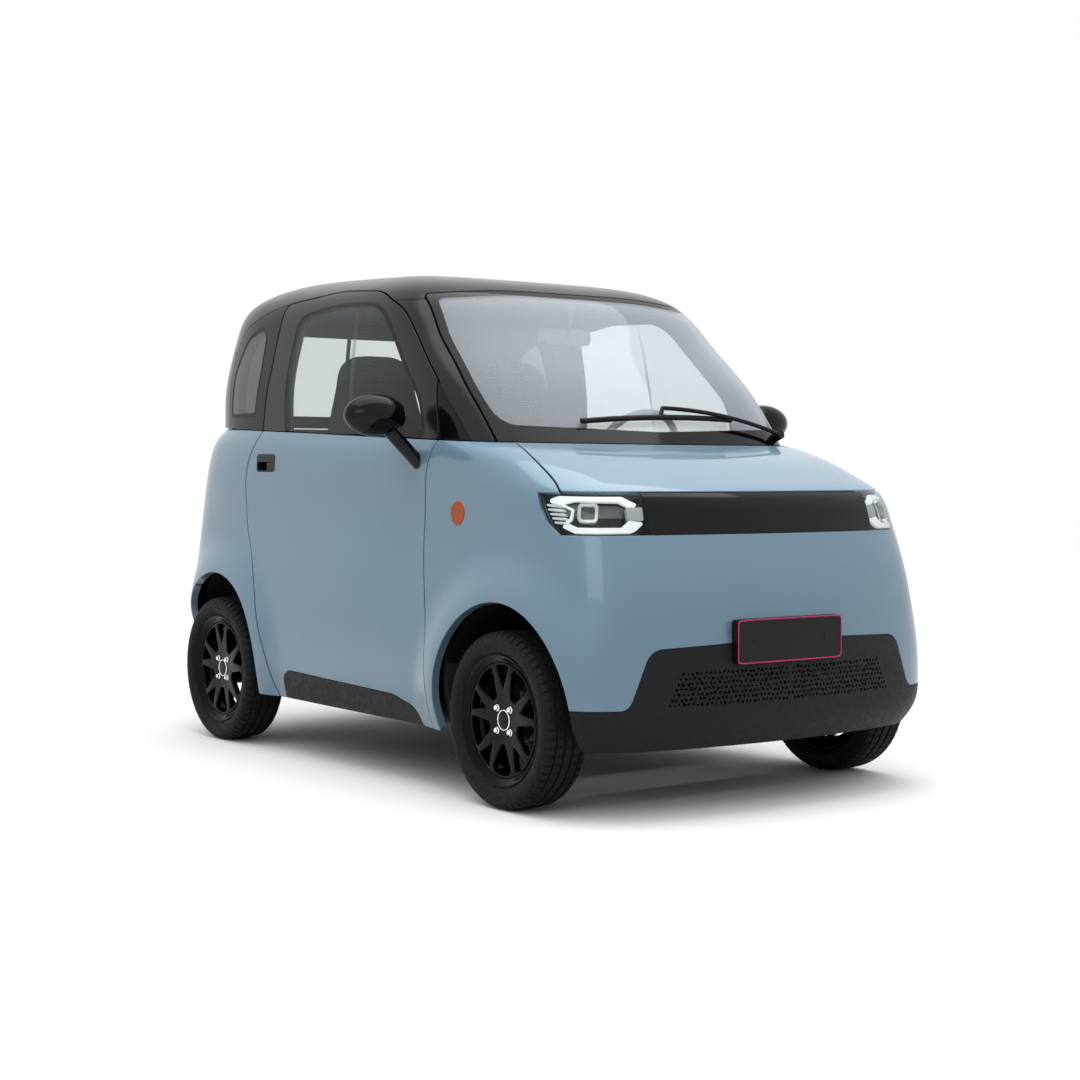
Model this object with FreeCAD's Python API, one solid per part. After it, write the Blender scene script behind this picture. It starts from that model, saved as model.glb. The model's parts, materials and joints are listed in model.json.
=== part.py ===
import FreeCAD, Part
import math
import os

# Electric microcar, modelled in millimetres with the front axle at x = 0, forward +X, left +Y, up +Z.
# The finished solids are moved so that the origin lies under the middle of the car.

# Driving dimensions
WHEELBASE = 1815
TYRE_RADIUS = 263
TYRE_WIDTH = 155
WHEEL_Y = 650
ARCH_Z = 288
FRONT_ARCH_RADIUS = 322
REAR_ARCH_RADIUS = 330
DOOR_WALL = 48
CAB_WALL = 38
GLASS = 6
SHUT_GAP = 6
ORIGIN_SHIFT = 872

# Body stations from the sill up: front end x and z, rear end x and z, half width, corner squareness
# at the front and at the rear. Each ring between two ends is a rounded rectangle seen from above.
LOWER_STATIONS = [
    (450, 200, -2105, 200, 690, 11, 8),
    (478, 255, -2180, 270, 706, 13, 10),
    (480, 330, -2215, 385, 718, 14, 11.5),
    (472, 500, -2224, 560, 717, 14, 12),
    (441, 700, -2220, 745, 702, 13, 11.5),
    (396, 850, -2208, 905, 690, 11.4, 11),
    (358, 926, -2198, 1000, 688, 9.6, 10),
    (290, 962, -2187, 1060, 686, 8.6, 9.2),
    (140, 1020, -2165, 1112, 680, 8.4, 8.4),
    (-105, 1078, -2125, 1158, 662, 10, 7.2),
]
UPPER_STATIONS = [
    (-105, 1078, -2125, 1158, 662, 10, 7.2),
    (-271, 1270, -2120, 1316, 660, 8.8, 7),
    (-460, 1447, -2094, 1494, 626, 7.4, 6.8),
    (-607, 1580, -2026, 1613, 575, 6, 6.4),
    (-700, 1622, -1917, 1657, 511, 4.8, 5.9),
    (-830, 1648, -1750, 1684, 419, 4.2, 5.4),
    (-1025, 1668, -1530, 1693, 264, 3.8, 5),
    (-1190, 1676, -1350, 1694, 120, 3.6, 4.6),
]
LOWER_MIDDLE_X = -860
UPPER_MIDDLE_X = -1050
MIDDLE_ROOM = 80
END_BOW = 0.07
SIDE_BOW = 0.02
FLARE = 30
FLARE_START = 300
FLARE_REACH = 200
LOWER_RINGS = 17
UPPER_RINGS = 12
END_STEPS = 8
SIDE_STEPS = 13
CORE_SINK = 60
CORE_RISES = (40, 100, 160)

# Zones that share out the skin among the panels
ALL_Y = (-900, 900)
LEFT_Y = (0, 900)
PANEL_Z = (100, 1300)
FRONT_ZONE_X = (-700, 700)
REAR_ZONE_X = (-2400, -1200)
PILLAR_X = (-2300, -1000, 100)
PILLAR_FOOT_Z = 900

# Side outlines as (x, z, corner radius)
DOOR_OUTLINE = [
    (-352, 150, 0), (-357, 330, 300), (-440, 760, 900), (-446, 1000, 300), (-420, 1100, 200),
    (-462, 1280, 40), (-725, 1520, 300), (-905, 1592, 400), (-1190, 1612, 900), (-1535, 1588, 30),
    (-1530, 1350, 300), (-1578, 1130, 250), (-1676, 985, 200), (-1636, 800, 300), (-1500, 540, 600),
    (-1420, 340, 600), (-1376, 150, 0),
]
DOOR_WINDOW = [
    (-1405, 1105, 25), (-1400, 1535, 60), (-1150, 1562, 600), (-850, 1550, 260), (-520, 1225, 300),
    (-500, 1105, 25),
]
QUARTER_WINDOW = [
    (-1845, 1185, 25), (-1830, 1360, 200), (-1760, 1480, 90), (-1600, 1530, 60), (-1585, 1350, 300),
    (-1620, 1185, 25),
]
SILL_TRIM = [
    (-1345, 150, 0), (-1335, 275, 30), (-1290, 300, 60), (-600, 284, 200), (-470, 252, 80), (-425, 150, 0),
]

# Outlines seen from the front or the rear as (y, z, corner radius), left half first
WINDSCREEN = [
    (585, 1040, 0), (598, 1255, 400), (578, 1420, 400), (545, 1570, 30), (270, 1592, 2000),
    (-270, 1592, 2000), (-545, 1570, 30), (-578, 1420, 400), (-598, 1255, 400), (-585, 1040, 0),
]
FASCIA_Z = (812, 932)
FASCIA_Y = 445
NOSE_CLADDING = [
    (760, 150, 0), (760, 322, 0), (560, 322, 40), (490, 490, 60), (0, 507, 3000),
    (-490, 490, 60), (-560, 322, 40), (-760, 322, 0), (-760, 150, 0),
]
TAIL_CLADDING = [
    (760, 150, 0), (760, 322, 0), (560, 322, 40), (490, 450, 60), (-490, 450, 60), (-560, 322, 40),
    (-760, 322, 0), (-760, 150, 0),
]
TAILGATE = [
    (500, 580, 60), (560, 1140, 400), (545, 1400, 400), (455, 1588, 60), (-455, 1588, 60),
    (-545, 1400, 400), (-560, 1140, 400), (-500, 580, 60),
]
REAR_WINDOW = [
    (500, 1190, 60), (490, 1400, 400), (430, 1535, 60), (-430, 1535, 60), (-490, 1400, 400), (-500, 1190, 60),
]
PLATE_HALF_WIDTH = 208
PLATE_HOLE_Y = 140
PLATE_HOLE_RADIUS = 3
SCREW_DEPTH = 40
FRONT_PLATE = ((474, 489), (438, 568), -10)
REAR_PLATE = ((-2231, -2205), (330, 440), 0)
TAIL_LAMP = [(572, 800, 20), (578, 1030, 20), (636, 1030, 25), (636, 800, 25)]
LAMP_SIDE = [(112, 940, 0), (132, 895, 0), (165, 850, 0), (232, 800, 0), (700, 800, 0), (700, 940, 0)]
BUMPER_TOP = 566
REAR_END_X = (-1880, -2480)
A_SEAM_Z = 1550
C_SEAM_Z = 1430

# Bonnet edge seen from above as (x, y) on the left side
BONNET_SIDE = [(-160, 548), (10, 602), (140, 622), (200, 640), (420, 700)]
BONNET_FRONT_Z = 938
COWL_LIP = 8

SKIN_Y = 700
DOOR_LEAN = 0.2

# Hinges: pin lines, knuckle sizes and running clearances
DOOR_PIN = (-345, 740)
DOOR_KNUCKLE_Z = (345, 369, 397, 421)
DOOR_KNUCKLE_RADIUS = 8
BONNET_PIN = (-64, 1066)
BONNET_HINGE_Y = 400
BONNET_REAR_GAP = 8
TAILGATE_PIN = (-2047, 1594)
TAILGATE_HINGE_Y = 300
EYE_RADIUS = 8
EYE_HALF = 8
NECK_HALF = 4.5
NECK_DROP = 60
NECK_REACH = 70
NECK_RISE = 40
NECK_PLATE = 10
POCKET_REACH = 90
PIN_RADIUS = 4
POCKET_GAP = 5
HINGE_CHEEK = 32
KINGPIN_Y = 565
KINGPIN_RADIUS = 18
SPINDLE_RADIUS = 30
BEARING_GAP = 0.05
PIVOT_GAP = 0.3

# Chassis levels and places
FLOOR_Z = (225, 255)
FIREWALL_X = (-335, -300)
FIREWALL_TOP = 1032
RAIL_Y = (310, 360)
RAIL_Z = (300, 355)
LINER = 12
LINER_Y = 430
RISER_X = (-1460, -1440)
LOAD_FLOOR_Z = (480, 500)
HALF_CABIN = 600
STEERING_CENTRE = (-640, 300, 1040)
STEERING_TILT = 28
STEERING_RADIUS = 178
COLUMN_RADIUS = 32
COLUMN_LENGTH = 215
HUB_DEPTH = 40
BATTERY_X = (-1380, -480)
BATTERY_Y = (-400, 400)
BATTERY_Z = (160, 225)
MOTOR_X = (-1910, -1700)
MOTOR_Y = (-170, 170)
MOTOR_Z = (185, 410)
SILL_X = (-1430, -385)
SILL_Y = (560, 625)
SILL_Z = (205, 330)
REAR_BEAM_X = (-2136, -2100)
REAR_BEAM_Z = (420, 520)
NOSE_BEAM_X = (355, 390)
NOSE_BEAM_Y = 400
NOSE_BEAM_Z = (300, 400)
REAR_RAIL_Z = (420, 480)
WHEELHOUSE_WALL_Z = 400
SUBFRAME_HALF = 70
SUBFRAME_Z = (185, 215)
ARM_HALF = 28
LOWER_ARM_Z = (168, 188)
UPPER_ARM_Z = (352, 372)
STRUT_Y = 475
STRUT_RADIUS = 30
STRUT_TOP = 608.5
HUB_Y = (622, 640)
HUB_CARRIER_RADIUS = 55
SPINDLE_END = 672
STEERING_ARM = 130
AXLE_TUBE = 32
SPRING_RADIUS = 40
SPRING_AHEAD = 130

# Wheel spokes: corners as (angle, radius), the fork's notch and the gap between two spokes
SPOKES = 5
SPOKE_FORK = [(0, 92), (11, 163), (-11, 163)]
SPOKE_GAP = [(-9, 70), (9, 70), (15, 163), (0, 166), (-15, 163)]

# Door handle and mirror
HANDLE = [(-1573, 988, 14), (-1573, 1050, 14), (-1433, 1050, 14), (-1433, 988, 14)]
MIRROR_CENTRE = (-535, 812, 1166)
MIRROR_HALF_SIZE = (62, 108, 66)
MIRROR_FOOT = (-500, 672, 1015)
MIRROR_STALK = 22

# Cabin fittings: side profiles as (x, z, corner radius)
DASHBOARD = [
    (-250, 1032, 0), (-250, 1050, 8), (-360, 1060, 60), (-520, 1060, 40), (-590, 1020, 30), (-570, 900, 60),
    (-450, 720, 60), (-335, 700, 0), (-335, 1032, 0),
]
DASHBOARD_HALF = 560
SEAT_BOTTOM = 410
SEAT_SIDE = [
    (-830, 410, 40), (-815, 530, 50), (-1190, 510, 60), (-1300, 1130, 300), (-1345, 1400, 35),
    (-1430, 1400, 35), (-1450, 1130, 300), (-1400, 410, 60),
]
SEAT_FRONT = [
    (-235, 390, 40), (-240, 900, 200), (-160, 1250, 150), (-140, 1410, 70), (140, 1410, 70),
    (160, 1250, 150), (240, 900, 200), (235, 390, 40),
]
SEAT_HALF = 240
SEAT_Y = 300
PEDESTAL_X = (-1290, -900)
PEDESTAL_HALF = 170

# Wiper places on the windscreen as (y, z), each with its height above the glass
WIPER_PIVOT = (545, 1102)
WIPER_ARM = [(545, 1102, 30), (300, 1158, 30), (40, 1184, 26)]
WIPER_BLADE = [(-295, 1142, 14), (20, 1158, 16), (335, 1156, 14)]
WIPER_RADII = (7, 9)
WIPER_BOSS = 16


def vec(x, y, z):
    return FreeCAD.Vector(x, y, z)


def box(x, y, z):
    """A box between two limits on each axis."""
    solid = Part.makeBox(x[1] - x[0], y[1] - y[0], z[1] - z[0])
    solid.translate(vec(x[0], y[0], z[0]))
    return solid


def cylinder(radius, start, end):
    """A round bar from start to end."""
    a, b = vec(*start), vec(*end)
    return Part.makeCylinder(radius, (b - a).Length, a, b - a)


def fuse(solids):
    """One solid from touching pieces."""
    result = solids[0].multiFuse(solids[1:]) if len(solids) > 1 else solids[0]
    return result.removeSplitter()


def mirrored(shape):
    """The same piece on the other side of the car."""
    return shape.mirror(vec(0, 0, 0), vec(0, 1, 0))


def solids_of(shape, smallest=2000):
    """The pieces of a cut, without slivers."""
    kept = [s for s in shape.Solids if s.Volume > smallest]
    return kept[0] if len(kept) == 1 else Part.makeCompound(kept)


def spline_slopes(knots, values):
    """Second derivatives of a natural cubic spline."""
    count = len(knots)
    second = [0.0] * count
    work = [0.0] * count
    for i in range(1, count - 1):
        before = knots[i] - knots[i - 1]
        after = knots[i + 1] - knots[i]
        ratio = before / (before + after)
        pivot = ratio * second[i - 1] + 2
        second[i] = (ratio - 1) / pivot
        change = (values[i + 1] - values[i]) / after - (values[i] - values[i - 1]) / before
        work[i] = (6 * change / (before + after) - ratio * work[i - 1]) / pivot
    second[-1] = 0.0
    for i in range(count - 2, -1, -1):
        second[i] = second[i] * second[i + 1] + work[i]
    return second


def spline_value(knots, values, second, t):
    """A natural cubic spline at t."""
    i = 1
    while i < len(knots) - 1 and knots[i] < t:
        i += 1
    step = knots[i] - knots[i - 1]
    a = (knots[i] - t) / step
    b = 1 - a
    bend = ((a**3 - a) * second[i - 1] + (b**3 - b) * second[i]) * step * step / 6
    return a * values[i - 1] + b * values[i] + bend


def stations_at(stations, count):
    """Smoothly spaced stations between the given ones."""
    knots = [0.0]
    for lower, upper in zip(stations, stations[1:]):
        front = math.hypot(upper[0] - lower[0], upper[1] - lower[1])
        side = math.hypot(upper[4] - lower[4], (upper[1] + upper[3] - lower[1] - lower[3]) / 2)
        knots.append(knots[-1] + front + side)
    columns = [list(column) for column in zip(*stations)]
    seconds = [spline_slopes(knots, column) for column in columns]
    places = [knots[-1] * i / (count - 1) for i in range(count)]
    return [[spline_value(knots, c, s, t) for c, s in zip(columns, seconds)] for t in places]


def smooth_step(t):
    t = min(max(t, 0.0), 1.0)
    return t**3 * (10 - 15 * t + 6 * t * t)


def ring_angles():
    """Angles round a ring, closer together at the four corners."""
    angles = []
    for quarter in range(4):
        counts = (END_STEPS, SIDE_STEPS) if quarter % 2 == 0 else (SIDE_STEPS, END_STEPS)
        for half, count in enumerate(counts):
            for i in range(count):
                share = i / count if half == 0 else 1 - i / count
                bend = math.atan(math.sin(math.pi / 2 * share))
                offset = bend if half == 0 else math.pi / 2 - bend
                angles.append(math.pi + quarter * math.pi / 2 + offset)
    return angles


def ring_points(station, middle_x, flared):
    """Points of one ring, with the wheel arch flares where they reach."""
    front_x, front_z, rear_x, rear_z, half_width, front_n, rear_n = station
    middle = min(middle_x, front_x - MIDDLE_ROOM)
    points = []
    for angle in ring_angles():
        c, s = math.cos(angle), math.sin(angle)
        blend = (1 + c) / 2
        n = rear_n + (front_n - rear_n) * blend * blend * (3 - 2 * blend)
        reach = (abs(c) ** n + abs(s) ** n) ** (-1 / n)
        along, across = reach * c, reach * s
        length = front_x - middle if c > 0 else middle - rear_x
        bow = END_BOW if c > 0 else 0.6 * END_BOW
        x = middle + length * along * (1 - bow * across * across)
        y = half_width * across * (1 - SIDE_BOW * along * along)
        z = front_z + (rear_z - front_z) * (front_x - x) / (front_x - rear_x)
        if flared:
            for axle in (0, -WHEELBASE):
                away = math.hypot(x - axle, z - ARCH_Z)
                rise = FLARE * (1 - smooth_step((away - FLARE_START) / FLARE_REACH))
                y += math.copysign(rise * abs(across) ** 6, y)
        points.append(vec(x, y, z))
    return points


def ring_curve(points):
    curve = Part.BSplineCurve()
    count = len(points)
    curve.interpolate(Points=points, PeriodicFlag=True, Parameters=[i / count for i in range(count + 1)])
    return curve


def offset_stations(stations, depth):
    """The stations of a surface that lies deeper by the wall's thickness."""
    result = []
    last = len(stations) - 1
    for i, station in enumerate(stations):
        low, high = stations[max(i - 1, 0)], stations[min(i + 1, last)]
        moved = list(station)
        for x_at, z_at, side in ((0, 1, -1), (2, 3, 1)):
            dx, dz = high[x_at] - low[x_at], high[z_at] - low[z_at]
            length = math.hypot(dx, dz)
            moved[x_at] += side * depth * dz / length
            moved[z_at] -= side * depth * dx / length
        dy = high[4] - low[4]
        rise = (high[1] + high[3] - low[1] - low[3]) / 2
        moved[4] -= depth * rise / math.hypot(dy, rise)
        result.append(moved)
    return result


def body_solid(stations, middle_x, flared):
    """A solid whose skin passes smoothly through every ring, with flat ends."""
    curves = [ring_curve(ring_points(station, middle_x, flared)) for station in stations]
    heights = [i / (len(curves) - 1) for i in range(len(curves))]
    columns = []
    for poles in zip(*[curve.getPoles() for curve in curves]):
        column = Part.BSplineCurve()
        column.interpolate(Points=list(poles), Parameters=heights)
        columns.append(column)
    skin = Part.BSplineSurface()
    skin.buildFromPolesMultsKnots(
        [column.getPoles() for column in columns], curves[0].getMultiplicities(),
        columns[0].getMultiplicities(), curves[0].getKnots(), columns[0].getKnots(), True, False,
        curves[0].Degree, columns[0].Degree)
    side = skin.toShape()
    ends = [Part.Face(Part.Wire([edge])) for edge in side.Edges if edge.isClosed()]
    shell = Part.Shell([side] + ends)
    shell.sewShape()
    solid = Part.Solid(shell)
    if solid.Volume < 0:
        solid.reverse()
    return solid


def shifted(station, dz, dx=0):
    """A station moved up by dz, and shortened by dx at each end."""
    front_x, front_z, rear_x, rear_z, half_width, front_n, rear_n = station
    return [front_x - dx, front_z + dz, rear_x + dx, rear_z + dz, half_width, front_n, rear_n]


def rounded_wire(points, place):
    """A closed outline with rounded corners; place turns (a, b) into a point."""
    count = len(points)
    edges = []
    corners = []
    for i, (a, b, radius) in enumerate(points):
        before, after = points[i - 1], points[(i + 1) % count]
        in_x, in_y = before[0] - a, before[1] - b
        out_x, out_y = after[0] - a, after[1] - b
        in_len, out_len = math.hypot(in_x, in_y), math.hypot(out_x, out_y)
        in_x, in_y, out_x, out_y = in_x / in_len, in_y / in_len, out_x / out_len, out_y / out_len
        dot = max(-1.0, min(1.0, in_x * out_x + in_y * out_y))
        half = math.acos(dot) / 2
        if radius <= 0 or half > math.radians(89.5):
            corners.append([(a, b)])
            continue
        reach = min(radius / math.tan(half), 0.48 * in_len, 0.48 * out_len)
        true_radius = reach * math.tan(half)
        bis_x, bis_y = in_x + out_x, in_y + out_y
        bis_len = math.hypot(bis_x, bis_y)
        depth = true_radius / math.sin(half) - true_radius
        first = (a + in_x * reach, b + in_y * reach)
        middle = (a + bis_x / bis_len * depth, b + bis_y / bis_len * depth)
        second = (a + out_x * reach, b + out_y * reach)
        corners.append([first, middle, second])
    for i, corner in enumerate(corners):
        following = corners[(i + 1) % count][0]
        if len(corner) == 3:
            edges.append(Part.Arc(*[place(*p) for p in corner]).toShape())
        edges.append(Part.LineSegment(place(*corner[-1]), place(*following)).toShape())
    return Part.Wire(Part.__sortEdges__(edges))


def side_prism(outline, grow=0, lean=0.0):
    """An outline seen from the side, pushed through the left half; it leans forward on the way in."""
    start_y, length = 330, 500
    wire = rounded_wire(outline, lambda x, z: vec(x + lean * (SKIN_Y - start_y), start_y, z))
    if grow:
        wire = wire.makeOffset2D(grow)
    return Part.Face(wire).extrude(vec(-lean * length, length, 0))


def end_prism(outline, x, grow=0):
    """An outline seen from the front or the rear, pushed along the car between two places."""
    wire = rounded_wire(outline, lambda y, z: vec(x[0], y, z))
    if grow:
        wire = wire.makeOffset2D(grow)
    return Part.Face(wire).extrude(vec(x[1] - x[0], 0, 0))


def both(shape):
    """A left-hand piece and its twin."""
    return [shape, mirrored(shape)]


def wheel_arch(axle_x, radius):
    return cylinder(radius, (axle_x, 400, ARCH_Z), (axle_x, 900, ARCH_Z))


parts = {}

# The skins
lower_rows = stations_at(LOWER_STATIONS, LOWER_RINGS)
upper_rows = stations_at(UPPER_STATIONS, UPPER_RINGS)
lower_solid = body_solid(lower_rows, LOWER_MIDDLE_X, True)
upper_solid = body_solid(upper_rows, UPPER_MIDDLE_X, False)

inner_lower = offset_stations(lower_rows, DOOR_WALL)
inner_lower[0] = shifted(inner_lower[0], -CORE_SINK)
inner_lower += [shifted(inner_lower[-1], rise) for rise in CORE_RISES]
lower_core = body_solid(inner_lower, LOWER_MIDDLE_X, True)
lower_shell = lower_solid.cut(lower_core)


def upper_core(depth):
    """The space inside the greenhouse for a wall of this depth."""
    inner = offset_stations(upper_rows, depth)[:-1]
    inner[0] = shifted(inner[0], -CORE_SINK)
    return body_solid(inner, UPPER_MIDDLE_X, False)


upper_shell = upper_solid.cut(upper_core(CAB_WALL))
glass_core = upper_core(GLASS)


def glass(block):
    """The part of the greenhouse's skin inside an outline, as thin as glass."""
    return solids_of(upper_solid.common(block).cut(glass_core))


# Openings and panel outlines
door_opening = side_prism(DOOR_OUTLINE, 0, DOOR_LEAN)
door_block = side_prism(DOOR_OUTLINE, -SHUT_GAP, DOOR_LEAN)
window_block = side_prism(DOOR_WINDOW, 0, DOOR_LEAN)
quarter_block = side_prism(QUARTER_WINDOW)
arches = both(wheel_arch(0, FRONT_ARCH_RADIUS)) + both(wheel_arch(-WHEELBASE, REAR_ARCH_RADIUS))
windscreen_block = end_prism(WINDSCREEN, (-1000, 100))
tailgate_opening = end_prism(TAILGATE, REAR_END_X)
tailgate_block = end_prism(TAILGATE, REAR_END_X, -SHUT_GAP)
rear_window_block = end_prism(REAR_WINDOW, REAR_END_X)
fascia_block = box((0, 700), (-FASCIA_Y, FASCIA_Y), FASCIA_Z)
lamp_face = box((0, 700), (FASCIA_Y, 760), FASCIA_Z)
lamp_block = lamp_face.common(side_prism(LAMP_SIDE))
nose_block = end_prism(NOSE_CLADDING, (0, 700))
tail_block = end_prism(TAIL_CLADDING, REAR_END_X)


def belt_block(grow):
    """Everything above and below the belt line's ring, grown a little."""
    station = list(lower_rows[-1])
    for at, change in ((0, grow), (2, -grow), (4, grow)):
        station[at] += change
    points = [vec(point.x, point.y, 500) for point in ring_points(station, LOWER_MIDDLE_X, False)]
    return Part.Face(Part.Wire([ring_curve(points).toShape()])).extrude(vec(0, 0, 1200))


def bonnet_prism(gap):
    """The bonnet's outline from above; its nose edge is a level cut and its rear edge follows the cowl."""
    edges = []
    for side in (1, -1):
        curve = Part.BSplineCurve()
        curve.interpolate([vec(x, side * (y - gap), BONNET_FRONT_Z - SHUT_GAP + gap) for x, y in BONNET_SIDE])
        edges.append(curve.toShape())
    left, right = edges
    front = Part.makeLine(left.Vertexes[1].Point, right.Vertexes[1].Point)
    rear = Part.makeLine(left.Vertexes[0].Point, right.Vertexes[0].Point)
    face = Part.Face(Part.Wire(Part.__sortEdges__([left, front, right, rear])))
    rear_gap = BONNET_REAR_GAP if gap else 0
    return face.extrude(vec(0, 0, 400)).cut(belt_block(COWL_LIP + rear_gap))


# Hinges
def door_hinge():
    """The left door's hinge: knuckles on the wing, the notch between them and the door's own knuckle."""
    x, y = DOOR_PIN
    low, first, second, high = DOOR_KNUCKLE_Z
    spans = ((low, first), (second, high))
    knuckles = [cylinder(DOOR_KNUCKLE_RADIUS, (x, y, a), (x, y, b)) for a, b in spans]
    reach = DOOR_KNUCKLE_RADIUS + POCKET_GAP
    notch = box((x - 4 * reach, x + reach), (y - reach - POCKET_GAP, y + 4 * reach), (first, second))
    middle = (first + PIVOT_GAP, second - PIVOT_GAP)
    own = cylinder(DOOR_KNUCKLE_RADIUS, (x, y, middle[0]), (x, y, middle[1]))
    arm = box((x - 4 * reach, x), (y - reach, y + DOOR_KNUCKLE_RADIUS / 2), middle)
    return knuckles, notch, own.fuse(arm)


def cross_pin(x, z, middle_y, half, radius):
    """A pin across the car."""
    return cylinder(radius, (x, middle_y - half, z), (x, middle_y + half, z))


def bonnet_hinge():
    """One bonnet hinge: the fixed swan-neck bracket, the pocket over it and the pin across the pocket."""
    x, z = BONNET_PIN
    y = BONNET_HINGE_Y
    across = (y - EYE_HALF, y + EYE_HALF)
    eye = cross_pin(x, z, y, EYE_HALF, EYE_RADIUS)
    low = z - NECK_DROP
    neck = box((x - NECK_HALF, x + NECK_HALF), across, (low, z))
    foot = box((x - NECK_REACH, x + EYE_RADIUS), across, (low, low + NECK_PLATE))
    riser = box((x - NECK_REACH, x - NECK_REACH + NECK_PLATE), across, (low, low + NECK_RISE))
    bracket = eye.fuse([neck, foot, riser]).cut(cross_pin(x, z, y, 2 * EYE_HALF, PIN_RADIUS + PIVOT_GAP))
    room = EYE_RADIUS + POCKET_GAP
    pocket = cross_pin(x, z, y, EYE_HALF + POCKET_GAP, EYE_RADIUS + 1)
    wide = (across[0] - POCKET_GAP, across[1] + POCKET_GAP)
    below = box((x - POCKET_REACH, x + room), wide, (z - POCKET_REACH, z))
    pocket = pocket.fuse(below)
    return bracket, pocket, cross_pin(x, z, y, EYE_HALF + 2 * POCKET_GAP, PIN_RADIUS)


def tailgate_hinge():
    """One tailgate hinge: the notch in the roof's edge, the pin across it and the tailgate's eye."""
    x, z = TAILGATE_PIN
    y = TAILGATE_HINGE_Y
    room = EYE_RADIUS + POCKET_GAP
    half = EYE_HALF + POCKET_GAP
    notch = box((x - 4 * room, x + room), (y - half, y + half), (z - 3 * room, z + room))
    pin = cross_pin(x, z, y, half + POCKET_GAP, PIN_RADIUS)
    wide = (y - half - 2 * POCKET_GAP, y + half + 2 * POCKET_GAP)
    cheeks = box((x - PIN_RADIUS - 2, x + HINGE_CHEEK), wide, (z - POCKET_GAP, z + EYE_RADIUS))
    pin = cheeks.cut(notch).fuse(pin)
    eye = cross_pin(x, z, y, EYE_HALF, EYE_RADIUS)
    arm = box((x - EYE_RADIUS, x + EYE_RADIUS), (y - EYE_HALF, y + EYE_HALF), (z - 40, z))
    bore = cross_pin(x, z, y, 2 * EYE_HALF, PIN_RADIUS + PIVOT_GAP)
    return notch, pin, eye.fuse(arm).cut(bore)


wing_knuckles, wing_notch, door_knuckle = door_hinge()
bonnet_bracket, bonnet_pocket, bonnet_pin = bonnet_hinge()
roof_notch, roof_pin, tailgate_eye = tailgate_hinge()

# Lower body panels
door_panel = lower_shell.common(door_block)
fixed_skin = lower_shell.cut(both(door_opening) + arches + [bonnet_prism(0), tailgate_opening])
front_skin = fixed_skin.common(box(FRONT_ZONE_X, ALL_Y, PANEL_Z))
rear_skin = fixed_skin.common(box(REAR_ZONE_X, ALL_Y, PANEL_Z))
nose_panel = solids_of(front_skin.cut([fascia_block, nose_block] + both(lamp_block) + both(wing_notch)))
fixed_hinges = wing_knuckles + [mirrored(knuckle) for knuckle in wing_knuckles] + both(bonnet_bracket)
parts["nose_panel"] = solids_of(nose_panel.fuse(fixed_hinges))
parts["fascia_strip"] = solids_of(front_skin.common(fascia_block))
lamp = solids_of(front_skin.common(lamp_block))
parts["headlamp_left"], parts["headlamp_right"] = both(lamp)
bonnet = lower_shell.common(bonnet_prism(SHUT_GAP)).cut(both(bonnet_pocket))
parts["bonnet"] = solids_of(bonnet.fuse(both(bonnet_pin)))
bumper_zone = box((REAR_ZONE_X[0], -WHEELBASE), ALL_Y, (PANEL_Z[0], BUMPER_TOP))
bumper_skin = rear_skin.common(bumper_zone)
parts["rear_bumper"] = solids_of(bumper_skin.cut(tail_block))
tail_lamp_block = end_prism(TAIL_LAMP, REAR_END_X)
quarter_skin = rear_skin.common(box(REAR_ZONE_X, LEFT_Y, PANEL_Z)).cut(bumper_zone)
quarter = solids_of(quarter_skin.cut(tail_lamp_block))
parts["quarter_panel_left"], parts["quarter_panel_right"] = both(quarter)
tail_lamp = solids_of(quarter_skin.common(tail_lamp_block))
parts["tail_lamps"] = Part.makeCompound(both(tail_lamp))
parts["tailgate_panel"] = solids_of(lower_shell.common(tailgate_block))


# Number plates
def screw_holes(x, z, middle_y):
    """The two screw holes of a number plate, which go on into the panels behind it."""
    middle_z = sum(z) / 2
    holes = []
    for side in (-1, 1):
        y = middle_y + side * PLATE_HOLE_Y
        start, end = (x[0] - SCREW_DEPTH, y, middle_z), (x[1] + SCREW_DEPTH, y, middle_z)
        holes.append(cylinder(PLATE_HOLE_RADIUS, start, end))
    return holes


def number_plate(x, z, middle_y):
    """A flat plate on its foot, shaped to the skin behind it, with two screw holes."""
    blank = box(x, (middle_y - PLATE_HALF_WIDTH, middle_y + PLATE_HALF_WIDTH), z)
    return solids_of(blank.cut([lower_solid] + screw_holes(x, z, middle_y)))


parts["plate_front"] = number_plate(*FRONT_PLATE)
parts["plate_rear"] = number_plate(*REAR_PLATE)
front_screws = screw_holes(*FRONT_PLATE)
parts["nose_panel"] = solids_of(parts["nose_panel"].cut(front_screws))
parts["nose_cladding"] = solids_of(front_skin.common(nose_block).cut(front_screws))
parts["rear_cladding"] = solids_of(bumper_skin.common(tail_block).cut(screw_holes(*REAR_PLATE)))

# Greenhouse
cab_fixed = upper_shell.cut(
    both(door_opening) + both(quarter_block) + [windscreen_block, tailgate_opening])
pillar_zone = [
    box(PILLAR_X[1:], ALL_Y, (PILLAR_FOOT_Z, A_SEAM_Z)),
    box(PILLAR_X[:2], ALL_Y, (PILLAR_FOOT_Z, C_SEAM_Z)),
]
parts["greenhouse_frame"] = solids_of(cab_fixed.common(Part.makeCompound(pillar_zone)))
roof = cab_fixed.cut(pillar_zone + both(roof_notch))
parts["roof"] = solids_of(roof.fuse(both(roof_pin)))
parts["windscreen"] = glass(windscreen_block)
parts["quarter_glass"] = Part.makeCompound(both(glass(quarter_block)))
door_frame = upper_shell.common(door_block).cut(window_block)
tailgate_frame = upper_shell.common(tailgate_block).cut(rear_window_block)
parts["tailgate_frame"] = solids_of(tailgate_frame.fuse(both(tailgate_eye)))
parts["rear_window"] = glass(rear_window_block)

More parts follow.
